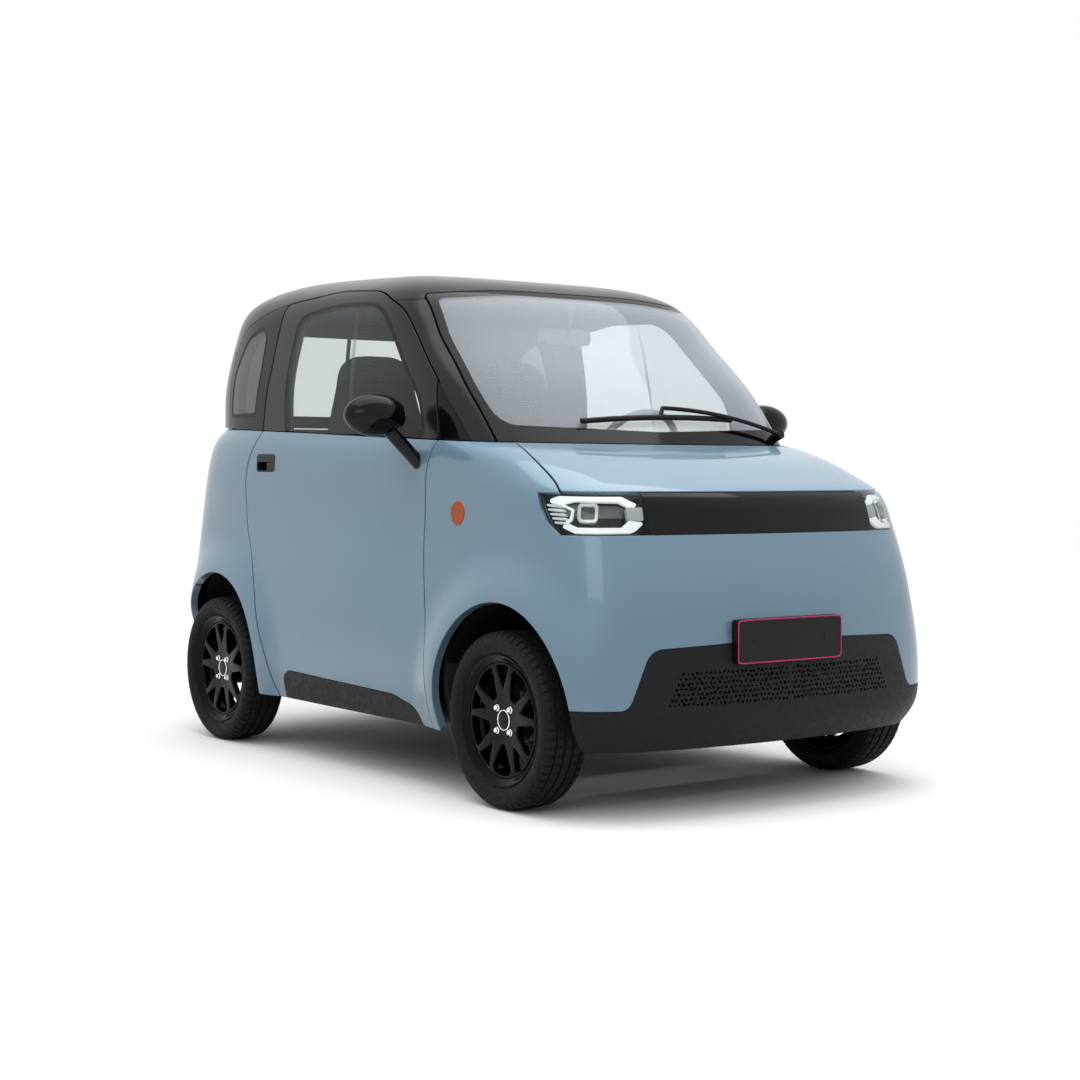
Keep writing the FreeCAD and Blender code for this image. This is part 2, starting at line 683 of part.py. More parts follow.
# Door fittings
trim_block = side_prism(SILL_TRIM)
handle_block = side_prism(HANDLE)
door_trim = [solids_of(door_panel.common(block)) for block in (trim_block, handle_block)]
door_panel = door_panel.cut([trim_block, handle_block])


def door_mirror():
    """The mirror head, an egg on its side, and the stalk that carries it."""
    head = Part.makeSphere(1)
    shape = FreeCAD.Matrix()
    shape.scale(*MIRROR_HALF_SIZE)
    head = head.transformGeometry(shape)
    head.translate(vec(*MIRROR_CENTRE))
    stalk = cylinder(MIRROR_STALK, MIRROR_FOOT, MIRROR_CENTRE)
    return solids_of(head.fuse(stalk).cut(lower_solid))


door_nodes = {
    "door_panel": solids_of(door_panel.fuse(door_knuckle)),
    "door_frame": solids_of(door_frame),
    "door_glass": glass(window_block),
    "door_trim": Part.makeCompound(door_trim),
    "door_mirror": door_mirror(),
}
for name, shape in door_nodes.items():
    parts[name + "_left"], parts[name + "_right"] = both(shape)


# Floor, firewall, wheelhouses and rails
def wheelhouse(axle_x, radius):
    """The liner above a left wheel with the wall on its inner side."""
    outside = LEFT_Y[1]
    outer = cylinder(radius + LINER, (axle_x, LINER_Y - LINER, ARCH_Z), (axle_x, outside, ARCH_Z))
    hollow = cylinder(radius, (axle_x, LINER_Y, ARCH_Z), (axle_x, outside + LINER, ARCH_Z))
    lid = outer.cut(hollow).common(lower_core)
    reach = radius + 2 * LINER
    below = box((axle_x - reach, axle_x + reach), (0, LINER_Y), (0, WHEELHOUSE_WALL_Z))
    keep = box((axle_x - reach, axle_x + reach), LEFT_Y, (FLOOR_Z[0], PANEL_Z[1]))
    return lid.common(keep).cut(below)


def rail(x, z):
    return both(box(x, RAIL_Y, z))


half_load = LINER_Y - LINER
tub = [
    box((RISER_X[0], FIREWALL_X[0]), (-HALF_CABIN, HALF_CABIN), FLOOR_Z),
    box(RISER_X, (-half_load, half_load), (FLOOR_Z[0], LOAD_FLOOR_Z[1])),
    box((REAR_BEAM_X[1], RISER_X[1]), (-half_load, half_load), LOAD_FLOOR_Z),
]
tub += both(box(SILL_X, SILL_Y, SILL_Z))
parts["floor_tub"] = solids_of(fuse(tub))
firewall = lower_core.common(box(FIREWALL_X, ALL_Y, (FLOOR_Z[0], FIREWALL_TOP)))
parts["firewall"] = solids_of(firewall)
front_rails = [box(NOSE_BEAM_X, (-NOSE_BEAM_Y, NOSE_BEAM_Y), NOSE_BEAM_Z)]
front_rails += rail((FIREWALL_X[1], NOSE_BEAM_X[1]), RAIL_Z)
rear_rails = [box(REAR_BEAM_X, (-half_load, half_load), REAR_BEAM_Z)]
rear_rails += rail((REAR_BEAM_X[0], RISER_X[0]), REAR_RAIL_Z)
parts["chassis_rails"] = Part.makeCompound([fuse(front_rails), fuse(rear_rails)])
front_liner = solids_of(wheelhouse(0, FRONT_ARCH_RADIUS).cut(firewall))
parts["front_wheelhouses"] = Part.makeCompound(both(front_liner))
rear_liner = solids_of(wheelhouse(-WHEELBASE, REAR_ARCH_RADIUS))
parts["rear_wheelhouses"] = Part.makeCompound(both(rear_liner))
parts["battery_pack"] = box(BATTERY_X, BATTERY_Y, BATTERY_Z)
parts["drive_motor"] = box(MOTOR_X, MOTOR_Y, MOTOR_Z)


# Suspension and knuckles
def front_corner():
    """Arms and strut of the left front wheel."""
    lower = box((-ARM_HALF, ARM_HALF), (RAIL_Y[0], KINGPIN_Y + ARM_HALF), LOWER_ARM_Z)
    upper = box((-ARM_HALF, ARM_HALF), (RAIL_Y[1], KINGPIN_Y + ARM_HALF), UPPER_ARM_Z)
    bracket = box((-ARM_HALF, ARM_HALF), (RAIL_Y[0], RAIL_Y[1] + 2 * LINER), (LOWER_ARM_Z[0], RAIL_Z[0]))
    hanger = box((-ARM_HALF, ARM_HALF), (RAIL_Y[1], RAIL_Y[1] + 2 * LINER), (RAIL_Z[0], UPPER_ARM_Z[1]))
    strut = cylinder(STRUT_RADIUS, (0, STRUT_Y, LOWER_ARM_Z[0]), (0, STRUT_Y, STRUT_TOP))
    return fuse([lower, upper, bracket, hanger, strut])


subframe = box((-SUBFRAME_HALF, SUBFRAME_HALF), (-RAIL_Y[0], RAIL_Y[0]), SUBFRAME_Z)
parts["front_suspension"] = solids_of(fuse([subframe] + both(front_corner())))


def knuckle():
    """The left knuckle: kingpin, hub carrier, steering arm and spindle."""
    low, high = LOWER_ARM_Z[1] + PIVOT_GAP, UPPER_ARM_Z[0] - PIVOT_GAP
    pin = cylinder(KINGPIN_RADIUS, (0, KINGPIN_Y, low), (0, KINGPIN_Y, high))
    block = box((-25, 25), (KINGPIN_Y, HUB_Y[0]), (low + 10, high - 10))
    carrier = cylinder(HUB_CARRIER_RADIUS, (0, HUB_Y[0] - 20, TYRE_RADIUS), (0, HUB_Y[0], TYRE_RADIUS))
    spindle = cylinder(SPINDLE_RADIUS, (0, HUB_Y[0] - 20, TYRE_RADIUS), (0, SPINDLE_END, TYRE_RADIUS))
    arm = box((-STEERING_ARM, 0), (KINGPIN_Y - 12, KINGPIN_Y + 12), (TYRE_RADIUS - 10, TYRE_RADIUS + 10))
    return solids_of(fuse([pin, block, carrier, spindle, arm]))


parts["knuckle_left"], parts["knuckle_right"] = both(knuckle())


def rear_half_axle():
    """Axle tube, trailing arm, spring and spindle of the left rear wheel."""
    x = -WHEELBASE
    tube = cylinder(AXLE_TUBE, (x, MOTOR_Y[1], TYRE_RADIUS), (x, HUB_Y[0], TYRE_RADIUS))
    flange = cylinder(HUB_CARRIER_RADIUS, (x, HUB_Y[0] - 20, TYRE_RADIUS), (x, HUB_Y[0], TYRE_RADIUS))
    spindle = cylinder(SPINDLE_RADIUS, (x, HUB_Y[0] - 20, TYRE_RADIUS), (x, SPINDLE_END, TYRE_RADIUS))
    arm = box((x, RISER_X[0]), RAIL_Y, (TYRE_RADIUS - 22, TYRE_RADIUS + 22))
    spring = cylinder(SPRING_RADIUS, (x + SPRING_AHEAD, sum(RAIL_Y) / 2, TYRE_RADIUS),
                      (x + SPRING_AHEAD, sum(RAIL_Y) / 2, REAR_RAIL_Z[0]))
    return fuse([tube, flange, spindle, arm, spring])


parts["rear_axle"] = Part.makeCompound(both(rear_half_axle()))


# Wheels
def turned(profile):
    """A ring turned round the wheel's axis from (y, radius) points."""
    points = [vec(0, y, r) for y, r in profile]
    wire = Part.makePolygon(points + [points[0]])
    return Part.Face(wire).revolve(vec(0, 0, 0), vec(0, 1, 0), 360)


def tyre():
    half = TYRE_WIDTH / 2
    top = TYRE_RADIUS
    wall = [(54, 179), (56, 196), (67, 204), (half, 224), (half - 3, 240)]
    outer = wall + [(64, top - 7), (48, top - 1), (0, top)]
    return turned(outer + [(-y, r) for y, r in reversed(outer[:-1])])


def rim():
    """An alloy rim: barrel, five forked spokes and a hub that runs on the spindle."""
    barrel = turned([
        (-62, 186), (-62, 195), (-56, 195), (-54, 179), (-36, 179), (-26, 160), (14, 160), (26, 179),
        (54, 179), (56, 195), (62, 195), (62, 186), (50, 171), (30, 171), (16, 153), (-28, 153),
        (-40, 171), (-52, 171)])
    face = turned([(34, 0), (34, 60), (30, 175), (48, 175), (54, 150), (48, 60), (46, 0)])
    hub = turned([(HUB_Y[0] + 2 - WHEEL_Y, 0), (HUB_Y[0] + 2 - WHEEL_Y, 62), (34, 62), (34, 0)])
    bore_end = SPINDLE_END + 2 - WHEEL_Y
    bore = turned([(-60, 0), (-60, SPINDLE_RADIUS + BEARING_GAP), (bore_end, SPINDLE_RADIUS + BEARING_GAP),
                   (bore_end, 0)])
    windows = []
    for spoke in range(SPOKES):
        turn = 360 / SPOKES * spoke
        for angle, points in ((turn, SPOKE_FORK), (turn + 180 / SPOKES, SPOKE_GAP)):
            polar = [(math.radians(a), r) for a, r in points]
            corners = [vec(r * math.sin(a), 20, r * math.cos(a)) for a, r in polar]
            window = Part.Face(Part.makePolygon(corners + [corners[0]])).extrude(vec(0, 60, 0))
            window.rotate(vec(0, 0, 0), vec(0, 1, 0), angle)
            windows.append(window)
    return solids_of(barrel.fuse(face.cut(windows).fuse(hub)).cut(bore))


tyre_shape, rim_shape = tyre(), rim()
for place, axle_x in (("front", 0), ("rear", -WHEELBASE)):
    for kind, shape in (("tyre", tyre_shape), ("rim", rim_shape)):
        wheel = shape.copy()
        wheel.translate(vec(axle_x, WHEEL_Y, TYRE_RADIUS))
        parts[f"{kind}_{place}_left"], parts[f"{kind}_{place}_right"] = both(wheel)


# Cabin
def across(profile, low_y, high_y):
    """A side profile of (x, z, corner radius) pushed across the car."""
    face = Part.Face(rounded_wire(profile, lambda x, z: vec(x, low_y, z)))
    return face.extrude(vec(0, high_y - low_y, 0))


axis = vec(-math.cos(math.radians(STEERING_TILT)), 0, math.sin(math.radians(STEERING_TILT)))
wheel_centre = vec(*STEERING_CENTRE)
column_top = wheel_centre - axis * (HUB_DEPTH + PIVOT_GAP)
column = Part.makeCylinder(COLUMN_RADIUS, COLUMN_LENGTH, column_top, axis * -1)
dashboard = across(DASHBOARD, -DASHBOARD_HALF, DASHBOARD_HALF)
parts["dashboard"] = solids_of(dashboard.fuse(column))


def steering_wheel():
    ring = Part.makeTorus(STEERING_RADIUS, 14, wheel_centre, axis)
    hub = Part.makeCylinder(55, HUB_DEPTH, wheel_centre - axis * HUB_DEPTH, axis)
    left_end = wheel_centre - vec(0, STEERING_RADIUS, 0)
    sideways = Part.makeCylinder(14, 2 * STEERING_RADIUS, left_end, vec(0, 1, 0))
    down = axis.cross(vec(0, 1, 0)) * STEERING_RADIUS
    if down.z > 0:
        down = down * -1
    spoke = Part.makeCylinder(14, STEERING_RADIUS, wheel_centre, down)
    return solids_of(fuse([ring, hub, sideways, spoke]))


parts["steering_wheel"] = steering_wheel()


def seat(middle_y):
    """A high-backed bucket seat on its pedestal."""
    side = across(SEAT_SIDE, middle_y - SEAT_HALF, middle_y + SEAT_HALF)
    wire = rounded_wire(SEAT_FRONT, lambda y, z: vec(-1600, middle_y + y, z))
    outline = Part.Face(wire).extrude(vec(1000, 0, 0))
    width = (middle_y - PEDESTAL_HALF, middle_y + PEDESTAL_HALF)
    pedestal = box(PEDESTAL_X, width, (FLOOR_Z[1], SEAT_BOTTOM + 5))
    return solids_of(side.common(outline).fuse(pedestal))


parts["seat_left"], parts["seat_right"] = seat(SEAT_Y), seat(-SEAT_Y)


# Wiper
def screen_x(y, z):
    """Where the windscreen's surface stands at a width and a height."""
    trace = []
    for station in upper_rows:
        points = ring_points(station, UPPER_MIDDLE_X, False)
        for a, b in zip(points, points[1:] + points[:1]):
            if a.x > UPPER_MIDDLE_X and b.x > UPPER_MIDDLE_X and (a.y - y) * (b.y - y) <= 0 and a.y != b.y:
                share = (y - a.y) / (b.y - a.y)
                trace.append((a.z + share * (b.z - a.z), a.x + share * (b.x - a.x)))
                break
    for (z0, x0), (z1, x1) in zip(trace, trace[1:]):
        if z0 <= z <= z1:
            return x0 + (x1 - x0) * (z - z0) / (z1 - z0)
    return trace[0][1]


def bar_over_screen(radius, places):
    """A round bar bent over the windscreen through three places."""
    points = [vec(screen_x(y, z) + lift, y, z + lift / 2) for y, z, lift in places]
    path = Part.Arc(*points)
    start = path.FirstParameter
    section = Part.Circle(path.value(start), vec(*path.tangent(start)[0]), radius)
    return Part.Wire([path.toShape()]).makePipe(Part.Face(Part.Wire([section.toShape()]))), points


arm_bar, arm_points = bar_over_screen(WIPER_RADII[0], WIPER_ARM)
blade, blade_points = bar_over_screen(WIPER_RADII[1], WIPER_BLADE)
link = cylinder(WIPER_RADII[0], tuple(arm_points[2]), tuple(blade_points[1]))
pivot_x = screen_x(*WIPER_PIVOT)
pivot_y, pivot_z = WIPER_PIVOT
pivot = cylinder(WIPER_BOSS, (pivot_x - 12, pivot_y, pivot_z), (pivot_x + 34, pivot_y, pivot_z + 18))
parts["wiper"] = solids_of(fuse([pivot.cut(upper_solid), arm_bar, link, blade]))

# Export in the frame whose origin lies under the middle of the car
os.makedirs("parts", exist_ok=True)
for name, shape in parts.items():
    moved = shape.copy()
    moved.translate(vec(ORIGIN_SHIFT, 0, 0))
    moved.exportStep(f"parts/{name}.step")
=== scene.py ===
import json
import math

import bmesh
import bpy
import numpy as np
from mathutils import Matrix, Vector, geometry, kdtree


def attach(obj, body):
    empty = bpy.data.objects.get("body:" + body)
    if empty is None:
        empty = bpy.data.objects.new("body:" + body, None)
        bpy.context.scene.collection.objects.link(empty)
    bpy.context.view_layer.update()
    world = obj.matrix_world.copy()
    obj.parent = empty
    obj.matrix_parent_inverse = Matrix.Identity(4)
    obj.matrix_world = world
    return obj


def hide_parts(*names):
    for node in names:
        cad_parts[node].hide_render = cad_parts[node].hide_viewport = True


# Electric microcar. Sizes are written in millimetres from the front axle, as in the part's source, and P
# turns them into the frame's metres.
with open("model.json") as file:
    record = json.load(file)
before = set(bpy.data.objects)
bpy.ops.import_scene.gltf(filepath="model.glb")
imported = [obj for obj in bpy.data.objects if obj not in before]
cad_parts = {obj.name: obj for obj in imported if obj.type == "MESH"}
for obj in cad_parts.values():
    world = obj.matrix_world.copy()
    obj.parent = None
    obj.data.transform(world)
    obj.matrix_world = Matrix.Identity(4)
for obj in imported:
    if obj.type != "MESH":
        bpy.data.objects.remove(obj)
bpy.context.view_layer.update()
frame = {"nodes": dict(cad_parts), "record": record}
nodes = frame["nodes"]

AXLE_X = 0.872
WHEELBASE = 1815
TYRE_RADIUS = 263
WHEEL_Y = 650


def P(x, y, z):
    return Vector((x / 1000 + AXLE_X, y / 1000, z / 1000))


# Camera, at the photograph's viewing angle
CAMERA_AZIMUTH = 53.77
CAMERA_ELEVATION = 2.079
CAMERA_ROLL = 0.143
CAMERA_PLACE = (4588, -3897, 997)
CAMERA_LENS = 63.80
CAMERA_SHIFT = (-0.0080, -0.0005)


def make_camera():
    data = bpy.data.cameras.new("camera")
    data.lens = CAMERA_LENS
    data.sensor_width = 36
    data.sensor_fit = "HORIZONTAL"
    data.shift_x, data.shift_y = CAMERA_SHIFT
    camera = bpy.data.objects.new("camera", data)
    bpy.context.scene.collection.objects.link(camera)
    a, e = math.radians(CAMERA_AZIMUTH), math.radians(CAMERA_ELEVATION)
    toward = Vector((math.sin(a) * math.cos(e), -math.cos(a) * math.cos(e), math.sin(e)))
    turn = toward.to_track_quat("Z", "Y")
    roll = Matrix.Rotation(math.radians(CAMERA_ROLL), 4, "Z")
    camera.matrix_world = Matrix.Translation(P(*CAMERA_PLACE)) @ turn.to_matrix().to_4x4() @ roll
    bpy.context.scene.camera = camera


make_camera()


# Materials
def set_sockets(node, values):
    for name, value in values.items():
        node.inputs[name].default_value = value


def new_material(name):
    material = bpy.data.materials.new(name)
    material.use_nodes = True
    tree = material.node_tree
    return material, tree, tree.nodes["Principled BSDF"]


def noise(tree, scale, detail=4.0):
    place = tree.nodes.new("ShaderNodeTexCoord")
    texture = tree.nodes.new("ShaderNodeTexNoise")
    set_sockets(texture, {"Scale": scale, "Detail": detail})
    tree.links.new(place.outputs["Object"], texture.inputs["Vector"])
    return texture.outputs["Fac"]


def ramp(tree, source, low, high, start=0.35, end=0.65):
    """Blends two grey levels or colours along a texture."""
    node = tree.nodes.new("ShaderNodeValToRGB")
    node.color_ramp.elements[0].position = start
    node.color_ramp.elements[1].position = end
    for element, value in zip(node.color_ramp.elements, (low, high)):
        element.color = (value, value, value, 1) if isinstance(value, float) else (*value, 1)
    tree.links.new(source, node.inputs["Fac"])
    return node.outputs["Color"]


def bump(tree, source, strength, distance):
    node = tree.nodes.new("ShaderNodeBump")
    set_sockets(node, {"Strength": strength, "Distance": distance})
    tree.links.new(source, node.inputs["Height"])
    return node.outputs["Normal"]


def shaded(color, share):
    return tuple(min(1.0, c * share) for c in color)


def surface(name, color, rough, metal=0.0, spread=0.06, scale=30.0, grain=0.0, grain_scale=900.0,
            coat=0.0, specular=0.5, rough_spread=0.08, painted_glow=0.0):
    """A finish whose colour and roughness vary gently, with a fine grain where asked, and a painted glow
    where asked.
    """
    material, tree, shader = new_material(name)
    links = tree.links
    patches = ramp(tree, noise(tree, scale), shaded(color, 1 - spread), shaded(color, 1 + spread))
    links.new(patches, shader.inputs["Base Color"])
    cloud = noise(tree, scale * 2.3, 6.0)
    cloud = ramp(tree, cloud, max(rough - rough_spread, 0.02), rough + rough_spread)
    links.new(cloud, shader.inputs["Roughness"])
    set_sockets(shader, {"Metallic": metal, "Coat Weight": coat, "Coat Roughness": 0.03,
                         "Specular IOR Level": specular})
    if grain:
        links.new(bump(tree, noise(tree, grain_scale, 3.0), grain, 0.0006), shader.inputs["Normal"])
    # Where asked, an emission of the surface's own colour paints brightness on parts that give no light.
    if painted_glow:
        set_sockets(shader, {"Emission Color": (*color, 1), "Emission Strength": painted_glow})
    return material


def paint(name, color, flake=0.10):
    """Metallic paint under a clear coat, with fine flakes in colour and roughness."""
    material, tree, shader = new_material(name)
    links = tree.links
    flakes = noise(tree, 2600.0, 2.0)
    shades = ramp(tree, flakes, shaded(color, 1 - flake), shaded(color, 1 + flake))
    links.new(shades, shader.inputs["Base Color"])
    links.new(ramp(tree, noise(tree, 7.0), 0.36, 0.42), shader.inputs["Roughness"])
    set_sockets(shader, {"Metallic": 0.15, "Specular IOR Level": 0.3, "Coat Weight": 0.75,
                         "Coat Roughness": 0.04})
    links.new(bump(tree, flakes, 0.02, 0.0002), shader.inputs["Normal"])
    return material


def mixed_shaders(tree, share, first, second, output):
    mix = tree.nodes.new("ShaderNodeMixShader")
    tree.links.new(share, mix.inputs["Fac"])
    tree.links.new(first.outputs[0], mix.inputs[1])
    tree.links.new(second.outputs[0], mix.inputs[2])
    tree.links.new(mix.outputs[0], tree.nodes[output].inputs["Surface"])


def reckoned(tree, operation, first, second):
    """A math node's result, from a link and either a number or another link."""
    node = tree.nodes.new("ShaderNodeMath")
    node.operation = operation
    tree.links.new(first, node.inputs[0])
    if isinstance(second, float):
        node.inputs[1].default_value = second
    else:
        tree.links.new(second, node.inputs[1])
    return node


def pane(name, color, tint_and_painted_reflection, rough=0.02):
    """Clear glass: seen through, with a layer of its colour that paints a pale reflection on clear panes and
    is the tint of dark ones, and reflections that grow towards grazing views.
    """
    material, tree, shader = new_material(name)
    links = tree.links
    links.new(ramp(tree, noise(tree, 3.0), shaded(color, 0.97), color), shader.inputs["Base Color"])
    links.new(ramp(tree, noise(tree, 9.0, 5.0), rough, rough + 0.03), shader.inputs["Roughness"])
    set_sockets(shader, {"Specular IOR Level": 1.0})
    clear = tree.nodes.new("ShaderNodeBsdfTransparent")
    set_sockets(clear, {"Color": (0.93, 0.95, 0.95, 1)})
    facing = tree.nodes.new("ShaderNodeLayerWeight")
    edge = reckoned(tree, "POWER", facing.outputs["Facing"], 4.0)
    share = reckoned(tree, "ADD", edge.outputs[0], tint_and_painted_reflection)
    share.use_clamp = True
    mixed_shaders(tree, share.outputs[0], clear, shader, "Material Output")
    return material


# Panes by colour and the share of their tint and painted reflection, and surfaces by colour, roughness and
# what else they have
PANES = {
    # On the clear panes the pale colour and its share paint a reflection of the bright surroundings, most on
    # the windscreen; on the dark pane they are its tint.
    "lamp_clear": ((0.30, 0.32, 0.34), 0.03),
    "glass_clear": ((0.40, 0.43, 0.46), 0.04),
    "screen_clear": ((0.60, 0.66, 0.73), 0.22),
    "glass_dark": ((0.025, 0.027, 0.030), 0.66),
}
SURFACES = {
    "black_cladding": ((0.013, 0.013, 0.016), 0.50, {"grain": 0.25, "specular": 0.16}),
    "gloss_black": ((0.003, 0.003, 0.004), 0.07, {"scale": 8.0, "specular": 0.20, "rough_spread": 0.01}),
    "lamp_black": ((0.008, 0.008, 0.010), 0.16, {"specular": 0.3, "rough_spread": 0.04}),
    "chrome": ((0.80, 0.81, 0.82), 0.12, {"metal": 1.0, "spread": 0.02, "rough_spread": 0.03}),
    # The light guide, projector ring and fins glow: emission that paints brightness on the parts of the unlit
    # lamp.
    "light_guide": ((0.88, 0.89, 0.90), 0.22, {"spread": 0.02, "coat": 0.4, "painted_glow": 0.55}),
    "ring_silver": ((0.62, 0.63, 0.65), 0.20,
        {"metal": 0.6, "spread": 0.04, "rough_spread": 0.04, "painted_glow": 0.12}),
    "lens_block": ((0.62, 0.64, 0.66), 0.18, {"spread": 0.03, "coat": 0.6, "rough_spread": 0.04}),
    "fin_white": ((0.70, 0.72, 0.74), 0.30, {"spread": 0.03, "painted_glow": 0.40}),
    "reflector_grey": ((0.16, 0.165, 0.175), 0.30, {"metal": 0.5, "spread": 0.05}),
    "lamp_glass": ((0.020, 0.022, 0.026), 0.05, {"coat": 1.0, "rough_spread": 0.02}),
    "seat_thread": ((0.085, 0.085, 0.090), 0.7, {"scale": 400.0, "spread": 0.2}),
    "grip_grey": ((0.30, 0.30, 0.31), 0.45, {"grain": 0.5, "grain_scale": 800.0}),
    "amber": ((0.50, 0.085, 0.006), 0.20,
        {"specular": 0.3, "spread": 0.10, "scale": 120.0, "rough_spread": 0.04}),
    "plate_edge": ((0.72, 0.010, 0.16), 0.35, {"spread": 0.03}),
    "lamp_red": ((0.30, 0.008, 0.010), 0.08, {"coat": 0.8, "rough_spread": 0.03}),
    "roof_black": ((0.009, 0.010, 0.012), 0.22, {"scale": 5.0, "specular": 0.30, "rough_spread": 0.015}),
    "wiper_black": ((0.006, 0.006, 0.007), 0.42, {"grain": 0.2, "specular": 0.2}),
    "chassis_black": ((0.012, 0.012, 0.013), 0.70, {"grain": 0.5, "grain_scale": 300.0}),
    "battery_case": ((0.05, 0.05, 0.055), 0.6, {"metal": 0.4, "grain": 0.3}),
    "motor_case": ((0.38, 0.38, 0.39), 0.45, {"metal": 0.9, "grain": 0.6, "grain_scale": 400.0}),
    "chassis_steel": ((0.02, 0.02, 0.022), 0.55, {"grain": 0.4}),
    "knuckle_iron": ((0.09, 0.088, 0.085), 0.6, {"metal": 0.7, "grain": 0.7, "grain_scale": 350.0}),
    "dash_plastic": ((0.020, 0.020, 0.022), 0.60, {"grain": 0.3, "grain_scale": 700.0, "specular": 0.2}),
    "seat_cloth": ((0.030, 0.030, 0.034), 0.88, {"grain": 0.8, "grain_scale": 1400.0, "specular": 0.2}),
    "tyre_rubber": ((0.010, 0.010, 0.011), 0.70, {"grain": 0.4, "grain_scale": 600.0, "specular": 0.18}),
    "rim_black": ((0.003, 0.003, 0.004), 0.12, {"specular": 0.10, "rough_spread": 0.04}),
    "liner_black": ((0.006, 0.006, 0.007), 0.80, {"grain": 0.5, "grain_scale": 400.0, "specular": 0.1}),
    "plate_black": ((0.006, 0.006, 0.007), 0.30, {"specular": 0.2}),
}
materials = {"paint_blue": paint("paint_blue", (0.165, 0.280, 0.376))}
for name, look in PANES.items():
    materials[name] = pane(name, *look)
for name, (color, rough, more) in SURFACES.items():
    materials[name] = surface(name, color, rough, **more)

for part in frame["record"]["subparts"]:
    node = nodes[part["node"]]
    node.data.materials.clear()
    node.data.materials.append(materials[part["material_slot"]])


# The body's skin follows the same stations and outlines as the part's source
LOWER_STATIONS = [
    (450, 200, -2105, 200, 690, 11, 8),
    (478, 255, -2180, 270, 706, 13, 10),
    (480, 330, -2215, 385, 718, 14, 11.5),
    (472, 500, -2224, 560, 717, 14, 12),
    (441, 700, -2220, 745, 702, 13, 11.5),
    (396, 850, -2208, 905, 690, 11.4, 11),
    (358, 926, -2198, 1000, 688, 9.6, 10),
    (290, 962, -2187, 1060, 686, 8.6, 9.2),
    (140, 1020, -2165, 1112, 680, 8.4, 8.4),
    (-105, 1078, -2125, 1158, 662, 10, 7.2),
]
UPPER_STATIONS = [
    (-105, 1078, -2125, 1158, 662, 10, 7.2),
    (-271, 1270, -2120, 1316, 660, 8.8, 7),
    (-460, 1447, -2094, 1494, 626, 7.4, 6.8),
    (-607, 1580, -2026, 1613, 575, 6, 6.4),
    (-700, 1622, -1917, 1657, 511, 4.8, 5.9),
    (-830, 1648, -1750, 1684, 419, 4.2, 5.4),
    (-1025, 1668, -1530, 1693, 264, 3.8, 5),
    (-1190, 1676, -1350, 1694, 120, 3.6, 4.6),
]
LOWER_MIDDLE_X = -860
UPPER_MIDDLE_X = -1050
MIDDLE_ROOM = 80
END_BOW = 0.07
SIDE_BOW = 0.02
ARCH_Z = 288
FLARE = 30
FLARE_START = 300
FLARE_REACH = 200
FRONT_ARCH_RADIUS = 322
REAR_ARCH_RADIUS = 330
SHUT_GAP = 5
EDGE_RADIUS = 2.5
SEAL_AND_SHADE_DEPTH = 12
FIRST_TURN, LAST_TURN = -0.02, math.pi + 0.02
TINY = 1e-9


def unit(v):
    return v / np.maximum(np.linalg.norm(v, axis=-1, keepdims=True), TINY)


def second_derivatives(knots, values):
    """Second derivatives of a natural cubic spline."""
    count = len(knots)
    second = [0.0] * count
    work = [0.0] * count
    for i in range(1, count - 1):
        before = knots[i] - knots[i - 1]
        after = knots[i + 1] - knots[i]
        ratio = before / (before + after)
        pivot = ratio * second[i - 1] + 2
        second[i] = (ratio - 1) / pivot
        change = (values[i + 1] - values[i]) / after - (values[i] - values[i - 1]) / before
        work[i] = (6 * change / (before + after) - ratio * work[i - 1]) / pivot
    for i in range(count - 2, -1, -1):
        second[i] = second[i] * second[i + 1] + work[i]
    return np.array(second)


class Splines:
    """Smooth lines through the columns of a table, over one row of knots."""

    def __init__(self, knots, rows):
        self.knots = np.array(knots, float)
        self.columns = [np.array(column, float) for column in zip(*rows)]
        self.seconds = [second_derivatives(self.knots, column) for column in self.columns]

    def at(self, t):
        i = np.clip(np.searchsorted(self.knots, t), 1, len(self.knots) - 1)
        step = self.knots[i] - self.knots[i - 1]
        a = (self.knots[i] - t) / step
        b = 1 - a
        values = []
        for column, second in zip(self.columns, self.seconds):
            bend = ((a**3 - a) * second[i - 1] + (b**3 - b) * second[i]) * step * step / 6
            values.append(a * column[i - 1] + b * column[i] + bend)
        return values


